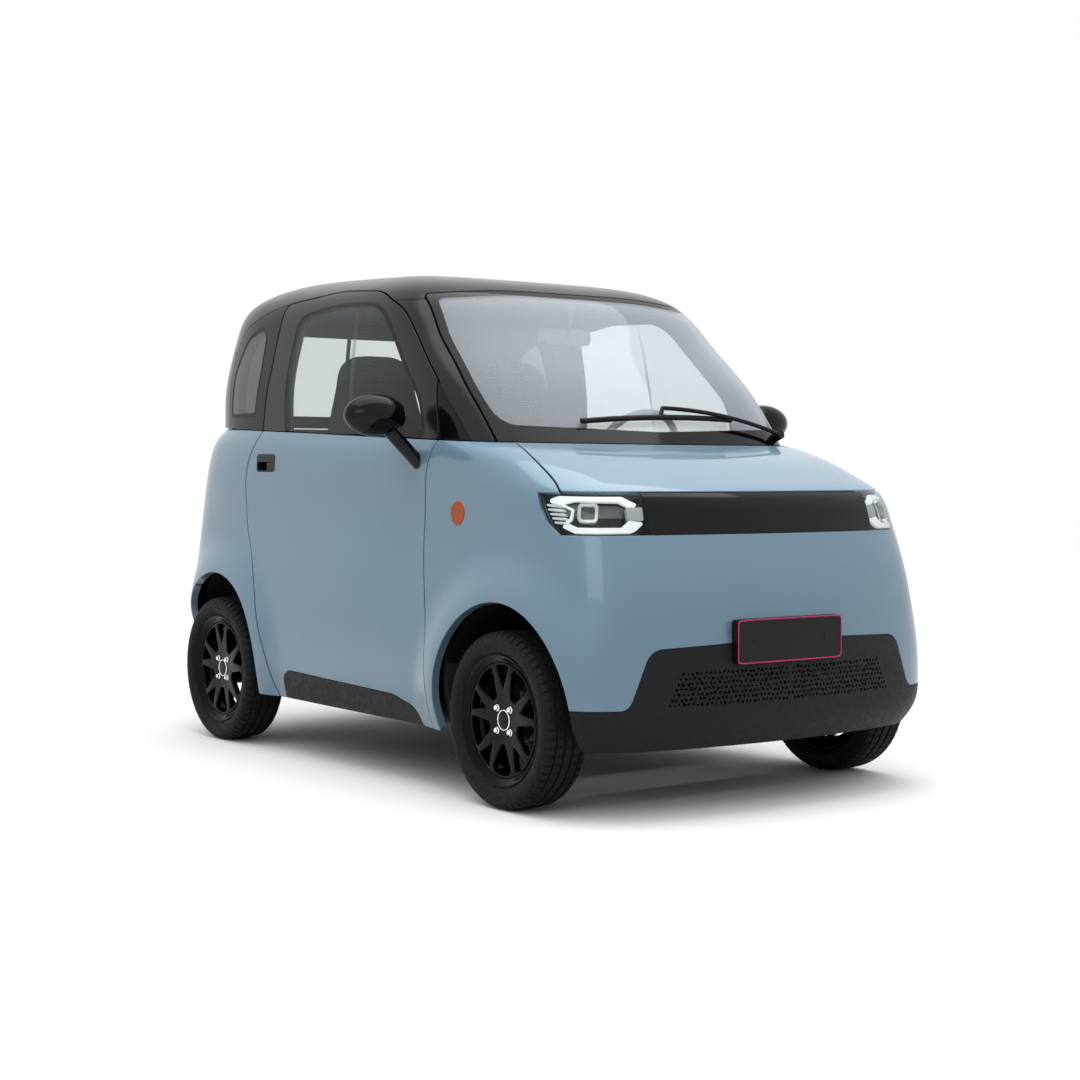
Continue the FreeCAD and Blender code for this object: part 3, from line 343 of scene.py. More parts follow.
class Skin:
    """The left half of a skin. A place on it is (turn, v): turn from 0 at the front's middle to pi at the
    rear's, v from 0 at the lowest ring to 1 at the highest. Laid flat, it is about as large as its size."""

    halved = True

    def __init__(self, stations, middle_x, flared, reach, size):
        self.middle_x = middle_x
        self.flared = flared
        self.reach = reach
        self.size = size
        knots = [0.0]
        for low, high in zip(stations, stations[1:]):
            front = math.hypot(high[0] - low[0], high[1] - low[1])
            side = math.hypot(high[4] - low[4], (high[1] + high[3] - low[1] - low[3]) / 2)
            knots.append(knots[-1] + front + side)
        self.splines = Splines(knots, stations)

    def point(self, place):
        turn, v = place[..., 0], place[..., 1]
        values = self.splines.at(v * self.splines.knots[-1])
        front_x, front_z, rear_x, rear_z, half_width, front_n, rear_n = values
        c, s = np.cos(turn), np.sin(turn)
        share = (1 + c) / 2
        n = rear_n + (front_n - rear_n) * share * share * (3 - 2 * share)
        reach = (np.abs(c)**n + np.abs(s)**n)**(-1 / n)
        along, across = reach * c, reach * s
        middle = np.minimum(self.middle_x, front_x - MIDDLE_ROOM)
        length = np.where(c > 0, front_x - middle, middle - rear_x)
        bow = np.where(c > 0, END_BOW, 0.6 * END_BOW)
        x = middle + length * along * (1 - bow * across**2)
        y = half_width * across * (1 - SIDE_BOW * along**2)
        z = front_z + (rear_z - front_z) * (front_x - x) / (front_x - rear_x)
        if self.flared:
            for axle in (0, -WHEELBASE):
                t = np.clip((np.hypot(x - axle, z - ARCH_Z) - FLARE_START) / FLARE_REACH, 0, 1)
                rise = FLARE * (1 - t**3 * (10 - 15 * t + 6 * t * t))
                y = y + rise * np.abs(across)**6 * np.sign(y)
        return np.stack([x, y, z], -1)

    def slopes(self, place):
        """Changes of the point with turn and with v."""
        h = 1e-4
        turn_step, v_step = np.array([h, 0]), np.array([0, h])
        by_turn = (self.point(place + turn_step) - self.point(place - turn_step)) / (2 * h)
        by_v = (self.point(place + v_step) - self.point(place - v_step)) / (2 * h)
        return by_turn, by_v

    def normal(self, place):
        return unit(np.cross(*self.slopes(place)))

    def locate(self, view, targets, turns, vs=None):
        """The places where a view of the skin shows the targets, looked for between two turns."""
        vs = vs or self.reach
        turn, v = np.meshgrid(np.linspace(*turns, 140), np.linspace(*vs, 60))
        grid = np.stack([turn.ravel(), v.ravel()], -1)
        seen = view(self.point(grid))
        targets = np.asarray(targets, float)
        nearest = [int(np.argmin(((seen - target)**2).sum(-1))) for target in targets]
        place = grid[nearest].copy()
        for _ in range(14):
            miss = targets - view(self.point(place))
            by_turn, by_v = (view(slope) - view(slope * 0) for slope in self.slopes(place))
            det = by_turn[:, 0] * by_v[:, 1] - by_turn[:, 1] * by_v[:, 0]
            det = np.where(np.abs(det) < 1e-3, 1e-3, det)
            step = np.stack([miss[:, 0] * by_v[:, 1] - miss[:, 1] * by_v[:, 0],
                             by_turn[:, 0] * miss[:, 1] - by_turn[:, 1] * miss[:, 0]], -1) / det[:, None]
            place += np.clip(step, -0.1, 0.1)
            place[:, 0] = np.clip(place[:, 0], FIRST_TURN, LAST_TURN)
            place[:, 1] = np.clip(place[:, 1], *vs)
        return place

    def level(self, z, turns, count):
        """The line at one height, between two turns."""
        turn = np.linspace(*turns, count)
        low, high = np.full(count, -0.05), np.full(count, 1.05)
        for _ in range(30):
            middle = (low + high) / 2
            above = self.point(np.stack([turn, middle], -1))[:, 2] > z
            high, low = np.where(above, middle, high), np.where(above, low, middle)
        return np.stack([turn, (low + high) / 2], -1)

    def turn_at(self, axis, value, z, turns):
        """The turn at which the line at one height reaches a coordinate."""
        line = self.level(z, turns, 400)
        return float(line[np.argmin(np.abs(self.point(line)[:, axis] - value)), 0])

    def moved(self, line, distance, closed=True):
        """A line on the skin moved sideways: outward where it is closed, else to its right from outside."""
        p, n = self.point(line), self.normal(line)
        if closed:
            before, after = p - np.roll(p, 1, 0), np.roll(p, -1, 0) - p
        else:
            steps = np.diff(p, axis=0)
            before, after = np.vstack([steps[:1], steps]), np.vstack([steps, steps[-1:]])
        before, after = unit(before), unit(after)
        tangent = unit(before + after)
        side = np.cross(tangent, n)
        if closed:
            turn, v = line.T
            side *= np.sign(np.sum(turn * np.roll(v, -1) - v * np.roll(turn, -1)))
        side *= distance / np.clip((tangent * after).sum(1), 0.5, 1)[:, None]
        by_turn, by_v = self.slopes(line)
        a, b, c = (by_turn * by_turn).sum(1), (by_turn * by_v).sum(1), (by_v * by_v).sum(1)
        d, e = (by_turn * side).sum(1), (by_v * side).sum(1)
        det = a * c - b * b
        return line + np.stack([(d * c - e * b) / det, (e * a - d * b) / det], -1)


lower = Skin(LOWER_STATIONS, LOWER_MIDDLE_X, True, (-0.1, 1.1), (2050, 1050))
upper = Skin(UPPER_STATIONS, UPPER_MIDDLE_X, False, (-0.1, 1.0), (2050, 1300))


def share_to_turn(u):
    """Turns a share from 0 to 2 round the left half into a turn, with more steps at the corners."""
    quarter = np.minimum(np.floor(u), 1)
    w = u - quarter
    near = np.arctan(np.sin(math.pi * w))
    return quarter * math.pi / 2 + np.where(w < 0.5, near, math.pi / 2 - near)


def turn_to_share(turn):
    quarter = np.clip(np.floor(turn / (math.pi / 2)), 0, 1)
    rest = turn - quarter * math.pi / 2
    first = rest < math.pi / 4
    bend = np.tan(np.where(first, rest, math.pi / 2 - rest))
    w = np.arcsin(np.clip(bend, -1, 1)) / math.pi
    return quarter + np.where(first, w, 1 - w)


# Views in which the outlines are drawn
SKIN_Y = 700
DOOR_LEAN = 0.2


def door_view(p):
    return np.stack([p[..., 0] - DOOR_LEAN * (SKIN_Y - p[..., 1]), p[..., 2]], -1)


def side_view(p):
    return p[..., [0, 2]]


def end_view(p):
    return p[..., [1, 2]]


def top_view(p):
    return p[..., [0, 1]]


def rounded(points, closed=True, spacing=9.0):
    """An outline of (a, b, corner radius) as close points."""
    count = len(points)
    result = []
    for i, (a, b, radius) in enumerate(points):
        if not closed and i in (0, count - 1):
            result.append((a, b))
            continue
        before = Vector(points[i - 1][:2]) - Vector((a, b))
        after = Vector(points[(i + 1) % count][:2]) - Vector((a, b))
        half = before.angle(after) / 2
        if radius <= 0 or half > math.radians(89.5):
            result.append((a, b))
            continue
        reach = min(radius / math.tan(half), 0.48 * before.length, 0.48 * after.length)
        true_radius = reach * math.tan(half)
        toward = (before.normalized() + after.normalized()).normalized()
        centre = Vector((a, b)) + toward * (true_radius / math.sin(half))
        start = Vector((a, b)) + before.normalized() * reach - centre
        end = Vector((a, b)) + after.normalized() * reach - centre
        sweep = start.angle(end)
        if start.x * end.y - start.y * end.x < 0:
            sweep = -sweep
        steps = max(3, int(abs(sweep) * true_radius / spacing), int(abs(sweep) / 0.12))
        for k in range(steps + 1):
            angle = sweep * k / steps
            cos, sin = math.cos(angle), math.sin(angle)
            result.append((centre.x + start.x * cos - start.y * sin,
                           centre.y + start.x * sin + start.y * cos))
    return spaced(result, closed, spacing)


def spaced(points, closed, spacing=9.0):
    """A line with points no further apart than the spacing."""
    points = [tuple(p) for p in points]
    close = []
    pairs = list(zip(points, points[1:] + points[:1]))
    for start, end in pairs if closed else pairs[:-1]:
        length = math.dist(start, end)
        if length < 0.05:
            continue
        pieces = max(1, round(length / spacing))
        close += [[a + (b - a) * k / pieces for a, b in zip(start, end)] for k in range(pieces)]
    if not closed:
        close.append(points[-1])
    return np.array(close)


def inside(outline, p):
    """Which points lie inside a closed outline."""
    result = np.zeros(len(p), bool)
    x, y = p[:, 0], p[:, 1]
    for (x0, y0), (x1, y1) in zip(outline, np.roll(outline, -1, 0)):
        if y0 == y1:
            continue
        result ^= ((y0 > y) != (y1 > y)) & (x < (x1 - x0) * (y - y0) / (y1 - y0) + x0)
    return result


# Outlines of the panels, as (a, b, corner radius) in their views
DOOR_OUTLINE = [
    (-352, 150, 0), (-357, 330, 300), (-440, 760, 900), (-446, 1000, 300), (-420, 1100, 200),
    (-462, 1280, 40), (-725, 1520, 300), (-905, 1592, 400), (-1190, 1612, 900), (-1535, 1588, 30),
    (-1530, 1350, 300), (-1578, 1130, 250), (-1676, 985, 200), (-1636, 800, 300), (-1500, 540, 600),
    (-1420, 340, 600), (-1376, 150, 0),
]
DOOR_WINDOW = [
    (-1405, 1100, 25), (-1400, 1535, 60), (-1150, 1562, 600), (-850, 1550, 260), (-520, 1225, 300),
    (-500, 1100, 25),
]
QUARTER_WINDOW = [
    (-1845, 1185, 25), (-1830, 1360, 200), (-1760, 1480, 90), (-1600, 1530, 60), (-1585, 1350, 300),
    (-1620, 1185, 25),
]
SILL_TRIM = [
    (-1345, 150, 0), (-1335, 275, 30), (-1290, 300, 60), (-600, 284, 200), (-470, 252, 80), (-425, 150, 0),
]
HANDLE = [(-1573, 988, 14), (-1573, 1050, 14), (-1433, 1050, 14), (-1433, 988, 14)]
MARKER = (-261, 866)
MARKER_RADIUS = 36
WINDSCREEN = [
    (-10, 1592, 0), (270, 1592, 2000), (545, 1570, 30), (578, 1420, 400), (598, 1255, 400), (585, 1020, 0),
    (-10, 1020, 0),
]
WINDSCREEN_CLEAR = [
    (-10, 1572, 0), (268, 1572, 2000), (522, 1550, 30), (555, 1415, 400), (574, 1255, 400), (560, 1135, 60),
    (-10, 1118, 0),
]
FASCIA_Z = (812, 932)
FASCIA_Y = 445
LAMP_OUTER = [(115.6, 932, 0), (132, 895, 60), (165, 850, 60), (222, 812, 0)]
CLADDING_Z = 322
NOSE_CLADDING_END = 200
TAIL_CLADDING_END = -1700
NOSE_CLADDING = [(620, 322, 0), (560, 322, 40), (490, 490, 60), (0, 507, 3000), (-10, 507, 0)]
TAIL_CLADDING = [(620, 322, 0), (560, 322, 40), (490, 450, 60), (-10, 450, 0)]
BUMPER_TOP = 566
TAILGATE = [
    (-10, 580, 0), (500, 580, 60), (560, 1140, 400), (545, 1400, 400), (455, 1588, 60), (-10, 1588, 0),
]
REAR_WINDOW = [(-10, 1190, 0), (500, 1190, 60), (490, 1400, 400), (430, 1535, 60), (-10, 1535, 0)]
TAIL_LAMP = [(572, 800, 20), (578, 1030, 20), (636, 1030, 25), (636, 800, 25)]
BONNET_SIDE = [(230, 650, 0), (200, 640, 200), (140, 622, 300), (10, 602, 600), (-170, 545, 0)]
BONNET_EDGE_Z = 933
COWL_LIP = 9
SAIL = [
    (-600, 1280, 0), (-470, 1288, 0), (-372, 1180, 200), (-290, 1088, 0), (-220, 1000, 0), (-600, 1000, 0),
]
QUARTER = [
    (-1420, 1592, 0), (-1540, 1582, 0), (-1660, 1561, 400), (-1815, 1515, 80), (-1868, 1429, 200),
    (-1868, 1323, 400), (-1868, 1000, 0), (-1420, 1000, 0),
]
A_SEAM_Z = 1550
C_SEAM_Z = 1430
SEAM_SPLIT_X = -1000

FRONT_TURNS = (FIRST_TURN, 1.3)
REAR_TURNS = (math.pi - 1.3, LAST_TURN)
SIDE_TURNS = (0.3, math.pi - 0.3)
CORNER_TURNS = (0.1, 1.3)
FRONT_SIDE_TURNS = (0.2, 1.5)
REAR_SIDE_TURNS = (1.6, 3.0)
BELOW, ABOVE = -0.1, 1.1
# The outlines that cross the belt are cut a little above it on the lower skin, a little below on the upper
DOOR_CUTS = (1180, 1000)
TAILGATE_CUTS = (1200, 1080)


def on_side(skin, outline, low=0, high=2000, view=side_view, turns=SIDE_TURNS):
    """An outline on a skin, without its points below or above two heights."""
    line = rounded(outline)
    line = line[(line[:, 1] > low) & (line[:, 1] < high)]
    return skin.locate(view, line, turns)


def on_end(skin, outline, turns, low=0, high=2000):
    return on_side(skin, outline, low, high, end_view, turns)


ROUND = np.linspace(0, 6.15, 44)


def circle_outline(centre, radius, angles):
    return [(centre[0] + radius * math.cos(a), centre[1] + radius * math.sin(a)) for a in angles]


def arch(axle_x, radius):
    angles = np.linspace(-0.5, math.pi + 0.5, 150)
    return lower.locate(side_view, circle_outline((axle_x, ARCH_Z), radius, angles), SIDE_TURNS)


def cladding(outline, turns, far_turn, middle_turn):
    """The lower black cladding of one end: level on the side, raised over the middle."""
    line = lower.locate(end_view, rounded(outline, False), turns)
    level = lower.level(CLADDING_Z, (far_turn, line[0, 0]), 40)[:-1]
    return np.vstack([level, line, [(middle_turn, BELOW), (far_turn, BELOW)]])


def fascia_side():
    heights = np.linspace(*FASCIA_Z, 14)
    return lower.locate(end_view, [(FASCIA_Y, z) for z in heights], FRONT_TURNS)


def fascia():
    side = fascia_side()
    low = lower.level(FASCIA_Z[0], (FIRST_TURN, side[0, 0]), 60)[:-1]
    high = lower.level(FASCIA_Z[1], (side[-1, 0], FIRST_TURN), 60)[1:]
    return np.vstack([low, side, high])


def lamp():
    side = fascia_side()
    outer = lower.locate(side_view, rounded(LAMP_OUTER, False), (0.3, 1.3))
    low = lower.level(FASCIA_Z[0], (outer[-1, 0], side[0, 0]), 40)[1:-1]
    high = lower.level(FASCIA_Z[1], (side[-1, 0], outer[0, 0]), 40)[1:-1]
    return np.vstack([outer, low, side, high])


def cowl(turn):
    """The bonnet's rear edge, a little below the belt."""
    belt_line = np.stack([turn, np.ones_like(turn)], -1)
    across = np.linalg.norm(lower.slopes(belt_line)[1][:, :2], axis=1)
    return np.stack([turn, 1 - COWL_LIP / across], -1)


def bonnet():
    side = lower.locate(top_view, rounded(BONNET_SIDE, False), CORNER_TURNS, (0.4, ABOVE))
    side = side[lower.point(side)[:, 2] > BONNET_EDGE_Z]
    side = side[side[:, 1] < cowl(side[:, 0])[:, 1]]
    front = lower.level(BONNET_EDGE_Z, (FIRST_TURN, side[0, 0]), 80)
    return np.vstack([front, side, cowl(np.linspace(side[-1, 0], FIRST_TURN, 80))])


def band(skin, z, turns):
    """Everything on a skin below one height, between two turns."""
    return np.vstack([skin.level(z, turns, 90), [(turns[1], BELOW), (turns[0], BELOW)]])


def beyond(edge, far):
    """Everything on a skin between one of its ends, at an edge of 0 or 1, and a place past it."""
    turns = np.linspace(FIRST_TURN, LAST_TURN, 400)
    line = np.stack([turns, np.full_like(turns, edge)], -1)
    return np.vstack([line, [(LAST_TURN, far), (FIRST_TURN, far)]])


def triangulated(rings, spots, room, corners=()):
    """A flat sheet's points, triangles and their middles: through closed rings, spots clear of the rings
    or on the sheet's border, and last a ring of corners."""
    points, edges = [], []

    def add(ring):
        start = len(points)
        points.extend(tuple(p) for p in ring)
        edges.extend((start + i, start + (i + 1) % len(ring)) for i in range(len(ring)))

    for ring in rings:
        add(ring)
    tree = kdtree.KDTree(len(points))
    for i, point in enumerate(points):
        tree.insert((*point, 0), i)
    tree.balance()
    points += [spot for spot, on_border in spots if on_border or tree.find((*spot, 0))[2] > room]
    add(corners)
    result = geometry.delaunay_2d_cdt([Vector(p) for p in points], edges, [], 0, 0.02)
    flat = np.array([tuple(p) for p in result[0]])
    triangles = np.array([face for face in result[2] if len(face) == 3])
    return flat, triangles, flat[triangles].mean(1)


def face_up(flat, triangles):
    """Turns round the triangles that face down."""
    a, b, c = (flat[triangles[:, k]] for k in range(3))
    down = (b[:, 0] - a[:, 0]) * (c[:, 1] - a[:, 1]) - (b[:, 1] - a[:, 1]) * (c[:, 0] - a[:, 0]) < 0
    triangles[down] = triangles[down][:, ::-1]


def cut_skin(skin, entries, base, spacing):
    """Triangles of the left half of a skin, each with the name of the panel it belongs to.

    An entry is (name, outline, outer, inner, strip): the skin round it ends outer millimetres outside the
    outline, the panel inside begins inner millimetres within it, and the strip between has its own name."""
    length, height = 2 * skin.size[0], skin.size[1]

    def flat_line(line):
        return np.stack([turn_to_share(line[:, 0]) * skin.size[0], line[:, 1] * height], -1)

    rings, labels = [], []
    for name, outline, outer, inner, strip in entries:
        rings.append(flat_line(skin.moved(outline, outer)))
        labels.append(strip)
        if inner is not None:
            rings.append(flat_line(skin.moved(outline, -inner)))
            labels.append(name)
    columns, rows = round(length / spacing), round(height / spacing)
    spots = [((length * column / columns, height * row / rows), row in (0, rows) or column in (0, columns))
             for row in range(rows + 1) for column in range(columns + 1)]
    corners = [(0, 0), (length, 0), (length, height), (0, height)]
    flat, triangles, middle = triangulated(rings, spots, 0.4 * spacing, corners)
    share = np.clip(flat[:, 0] / skin.size[0], 0, 2)
    places = np.stack([share_to_turn(share), flat[:, 1] / height], -1)
    kept = ((middle > 0) & (middle < (length, height))).all(1)
    triangles, middle = triangles[kept], middle[kept]
    names = np.array([base] * len(triangles), object)
    for ring, label in zip(rings, labels):
        names[inside(ring, middle)] = label
    face_up(flat, triangles)
    return skin, places, triangles, names


# From an outline in to its panel: across a shut line, beside a fixed panel and under a rubber
SHUT_ROOM = SHUT_GAP + EDGE_RADIUS
FIXED_ROOM = 0.8 + EDGE_RADIUS
RUBBER_ROOM = 16
CROWN = 3
LOWER_SPACING = 22
UPPER_SPACING = 24
HANDLE_SPACING = 16
LAMP_SPACING = 14


def panel(name, outline, inner=FIXED_ROOM, strip="seal", outer=EDGE_RADIUS):
    """An entry for a panel with a strip round it."""
    return name, outline, outer, inner, strip


def opening(outline, outer=EDGE_RADIUS, strip=""):
    """An entry for one outline that is filled with a name, or left open."""
    return "", outline, outer, None, strip


far_front = lower.turn_at(0, NOSE_CLADDING_END, CLADDING_Z, FRONT_SIDE_TURNS)
far_rear = lower.turn_at(0, TAIL_CLADDING_END, CLADDING_Z, REAR_SIDE_TURNS)
bumper_turn = lower.turn_at(0, -WHEELBASE, BUMPER_TOP, REAR_SIDE_TURNS)
split_turn = upper.turn_at(0, SEAM_SPLIT_X, A_SEAM_Z, (0.5, 2.6))
nose_outline = cladding(NOSE_CLADDING, FRONT_TURNS, far_front, FIRST_TURN)
marker_outline = circle_outline(MARKER, MARKER_RADIUS, ROUND)

lower_cut = cut_skin(lower, [
    panel("bonnet", bonnet(), SHUT_ROOM),
    panel("fascia", fascia()),
    panel("lamp", lamp()),
    panel("nose_cladding", nose_outline),
    panel("marker", lower.locate(side_view, marker_outline, SIDE_TURNS), 2.0, outer=1.5),
    panel("tailgate", on_end(lower, TAILGATE, REAR_TURNS, high=TAILGATE_CUTS[0]), SHUT_ROOM),
    panel("bumper", band(lower, BUMPER_TOP, (bumper_turn, LAST_TURN))),
    panel("tail_cladding", cladding(TAIL_CLADDING, REAR_TURNS, far_rear, LAST_TURN)),
    panel("tail_lamp", on_end(lower, TAIL_LAMP, REAR_TURNS)),
    panel("door", on_side(lower, DOOR_OUTLINE, high=DOOR_CUTS[0], view=door_view), SHUT_ROOM),
    panel("trim", on_side(lower, SILL_TRIM)),
    panel("handle", on_side(lower, HANDLE)),
    opening(beyond(1, ABOVE), EDGE_RADIUS + 1),
    opening(arch(0, FRONT_ARCH_RADIUS)),
    opening(arch(-WHEELBASE, REAR_ARCH_RADIUS)),
], "body", LOWER_SPACING)

upper_cut = cut_skin(upper, [
    panel("pillars", band(upper, A_SEAM_Z, (FIRST_TURN, split_turn))),
    panel("pillars", band(upper, C_SEAM_Z, (split_turn, LAST_TURN))),
    panel("surround", on_side(upper, SAIL, view=door_view)),
    panel("surround", on_side(upper, QUARTER)),
    panel("frit", on_end(upper, WINDSCREEN, FRONT_TURNS), SHUT_ROOM),
    panel("windscreen", on_end(upper, WINDSCREEN_CLEAR, FRONT_TURNS), 0, outer=0),
    panel("tailgate", on_end(upper, TAILGATE, REAR_TURNS, TAILGATE_CUTS[1]), SHUT_ROOM),
    panel("rear_window", on_end(upper, REAR_WINDOW, REAR_TURNS), RUBBER_ROOM, "rubber_tailgate"),
    panel("quarter_glass", on_side(upper, QUARTER_WINDOW), RUBBER_ROOM, "rubber_quarter"),
    panel("door", on_side(upper, DOOR_OUTLINE, DOOR_CUTS[1], view=door_view), SHUT_ROOM),
    panel("door_glass", on_side(upper, DOOR_WINDOW, view=door_view), RUBBER_ROOM, "rubber_door"),
    opening(beyond(0, BELOW), EDGE_RADIUS + 1),
], "roof", UPPER_SPACING)


def open_edges(triangles):
    """The edges that only one triangle has, in that triangle's direction."""
    edges = {}
    for a, b, c in triangles.tolist():
        for start, end in ((a, b), (b, c), (c, a)):
            if (end, start) in edges:
                del edges[end, start]
            else:
                edges[start, end] = True
    return list(edges)


def crowned(places, p, n, on_middle, triangles):
    """Closes the ring at the skin's top with a low crown."""
    top = places[:, 1] > 0.9999
    ring = [(a, b) for a, b in open_edges(triangles) if top[a] and top[b]]
    apex = p[top].mean(0) * np.array([1, 0, 1]) + np.array([0, 0, CROWN])
    fan = np.array([(b, a, len(p)) for a, b in ring])
    on_middle = np.append(on_middle, True)
    return np.vstack([p, apex]), np.vstack([n, (0, 0, 1)]), on_middle, np.vstack([triangles, fan])


def shell(cut, label, wall, radius=EDGE_RADIUS, lift=0.0):
    """A panel as a closed shell: its outer sheet, rounded edge, flange and inner sheet."""
    skin, places, triangles, names = cut
    used, chosen = np.unique(triangles[np.isin(names, label)], return_inverse=True)
    chosen = chosen.reshape(-1, 3)
    places = places[used]
    n = skin.normal(places)
    p = skin.point(places) + n * lift
    on_middle = ((places[:, 0] < 1e-4) | (places[:, 0] > math.pi - 1e-4)) & skin.halved
    p[on_middle, 1] = 0
    if label == "roof":
        p, n, on_middle, chosen = crowned(places, p, n, on_middle, chosen)
    border = [(a, b) for a, b in open_edges(chosen) if not (on_middle[a] and on_middle[b])]
    out = np.zeros_like(p)
    for a, b in border:
        for end in (a, b):
            out[end] += unit(np.cross(p[b] - p[a], n[end]))
    out[on_middle, 1] = 0
    out = unit(out - n * (out * n).sum(1, keepdims=True))
    rim = np.unique(np.array(border).ravel())
    spot = {vertex: i for i, vertex in enumerate(rim)}
    if callable(radius):
        radius = radius(p[rim])[:, None]
    layers, rim_normals = [p], [n[rim]]
    for angle in (math.pi / 6, math.pi / 3, math.pi / 2):
        s, c = math.sin(angle), math.cos(angle)
        layers.append(p[rim] + radius * (s * out[rim] - (1 - c) * n[rim]))
        rim_normals.append(c * n[rim] + s * out[rim])
    inner = p - wall * n
    inner[rim] += radius * out[rim]
    layers.append(inner)
    starts = np.cumsum([0] + [len(layer) for layer in layers])

    def at(level, vertex):
        return starts[level] + (vertex if level in (0, 4) else spot[vertex])

    faces = [tuple(t) for t in chosen]
    corners = [tuple(n[i]) for t in chosen for i in t]
    levels = list(zip(rim_normals, rim_normals[1:])) + [(out[rim], out[rim])]
    for a, b in border:
        i, j = spot[a], spot[b]
        for level, (low, high) in enumerate(levels):
            faces.append((at(level, b), at(level, a), at(level + 1, a), at(level + 1, b)))
            corners += [tuple(low[j]), tuple(low[i]), tuple(high[i]), tuple(high[j])]
    kinds = [0] * len(faces) + [1] * len(chosen)
    faces += [tuple(starts[4] + i for i in reversed(t)) for t in chosen]
    corners += [tuple(-n[i]) for t in chosen for i in reversed(t)]
    return np.vstack(layers), faces, np.array(corners), np.array(kinds)


def other_side(data):
    """The same shell on the right-hand side."""
    vertices, faces, corners, kinds = data
    flip = np.array([1, -1, 1])
    turned = [tuple(reversed(face)) for face in faces]
    sizes = [len(face) for face in faces]
    order = np.concatenate([np.arange(end - size, end)[::-1] for end, size in zip(np.cumsum(sizes), sizes)])
    return vertices * flip, turned, corners[order] * flip, kinds


def joined(first, second):
    """Two shells as one, sharing the vertices that lie on the middle plane."""
    count = len(first[0])
    target = np.arange(count) + count
    middle = np.abs(first[0][:, 1]) < 1e-6
    target[middle] -= count
    faces = first[1] + [tuple(int(target[i]) for i in face) for face in second[1]]
    vertices = np.vstack([first[0], second[0]])
    return vertices, faces, np.vstack([first[2], second[2]]), np.concatenate([first[3], second[3]])


def placed(name, vertices, faces, kinds, looks, body, replaces):
    """A mesh object that rides on a body, with one finish for each kind of face."""
    mesh = bpy.data.meshes.new(name)
    mesh.from_pydata((vertices / 1000 + np.array([AXLE_X, 0, 0])).tolist(), [], faces)
    for look in looks:
        mesh.materials.append(materials[look])
    mesh.polygons.foreach_set("material_index", np.minimum(kinds, len(looks) - 1).astype(np.int32))
    mesh.shade_smooth()
    made = bpy.data.objects.new(name, mesh)
    bpy.context.scene.collection.objects.link(made)
    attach(made, body)
    if replaces:
        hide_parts(*replaces)
    return made


def piece(name, data, body, looks, replaces=()):
    """An object from shell data, with the shell's own normals."""
    vertices, faces, corners, kinds = data
    used, ends_at = np.unique(np.concatenate([np.array(face) for face in faces]), return_inverse=True)
    ends = np.cumsum([len(face) for face in faces])
    lists = [tuple(part) for part in np.split(ends_at, ends[:-1])]
    made = placed(name, vertices[used], lists, kinds, looks, body, replaces)
    made.data.normals_split_custom_set(corners.tolist())


def fit(name, data, bodies, looks, replaces=(), slot=None):
    """Twins on the left and right where there are two bodies, else one piece across the middle."""
    if isinstance(bodies, str):
        piece(name, joined(data, other_side(data)), bodies, looks, replaces)
        return
    for side, half, body in zip(("_left", "_right"), (data, other_side(data)), bodies):
        piece(name + side, half, body, looks, [node + side for node in replaces])


# Body panels, cab panels and glass, the rubber round it, and dark sheets under the shut lines, partly seals
# and partly painted shade in the gaps
BODY = "body"
DOORS = ("door_left", "door_right")
SIDES = (BODY, BODY)
SKIN_WALL = 26
DOOR_WALL = 44
CAB_WALL = 34
GLASS_WALL = 5
RUBBER_WALL = 9
SEAL_WALL = 3
FINE_EDGE = 0.5


def front_of(cut, label, x):
    """The same cut with a label kept only ahead of x, and its rear part given another name."""
    skin, places, triangles, names = cut
    names = names.copy()
    middle = skin.point(places)[triangles].mean(1)
    names[(names == label) & (middle[:, 0] < x)] = label + "_rear"
    return skin, places, triangles, names


lower_cut = front_of(front_of(lower_cut, "body", LOWER_MIDDLE_X), "seal", LOWER_MIDDLE_X)

BLUE = ["paint_blue", "liner_black"]
BLUE_TRIMMED = ["paint_blue", "dash_plastic"]
BLACK_TRIMMED = ["roof_black", "dash_plastic"]
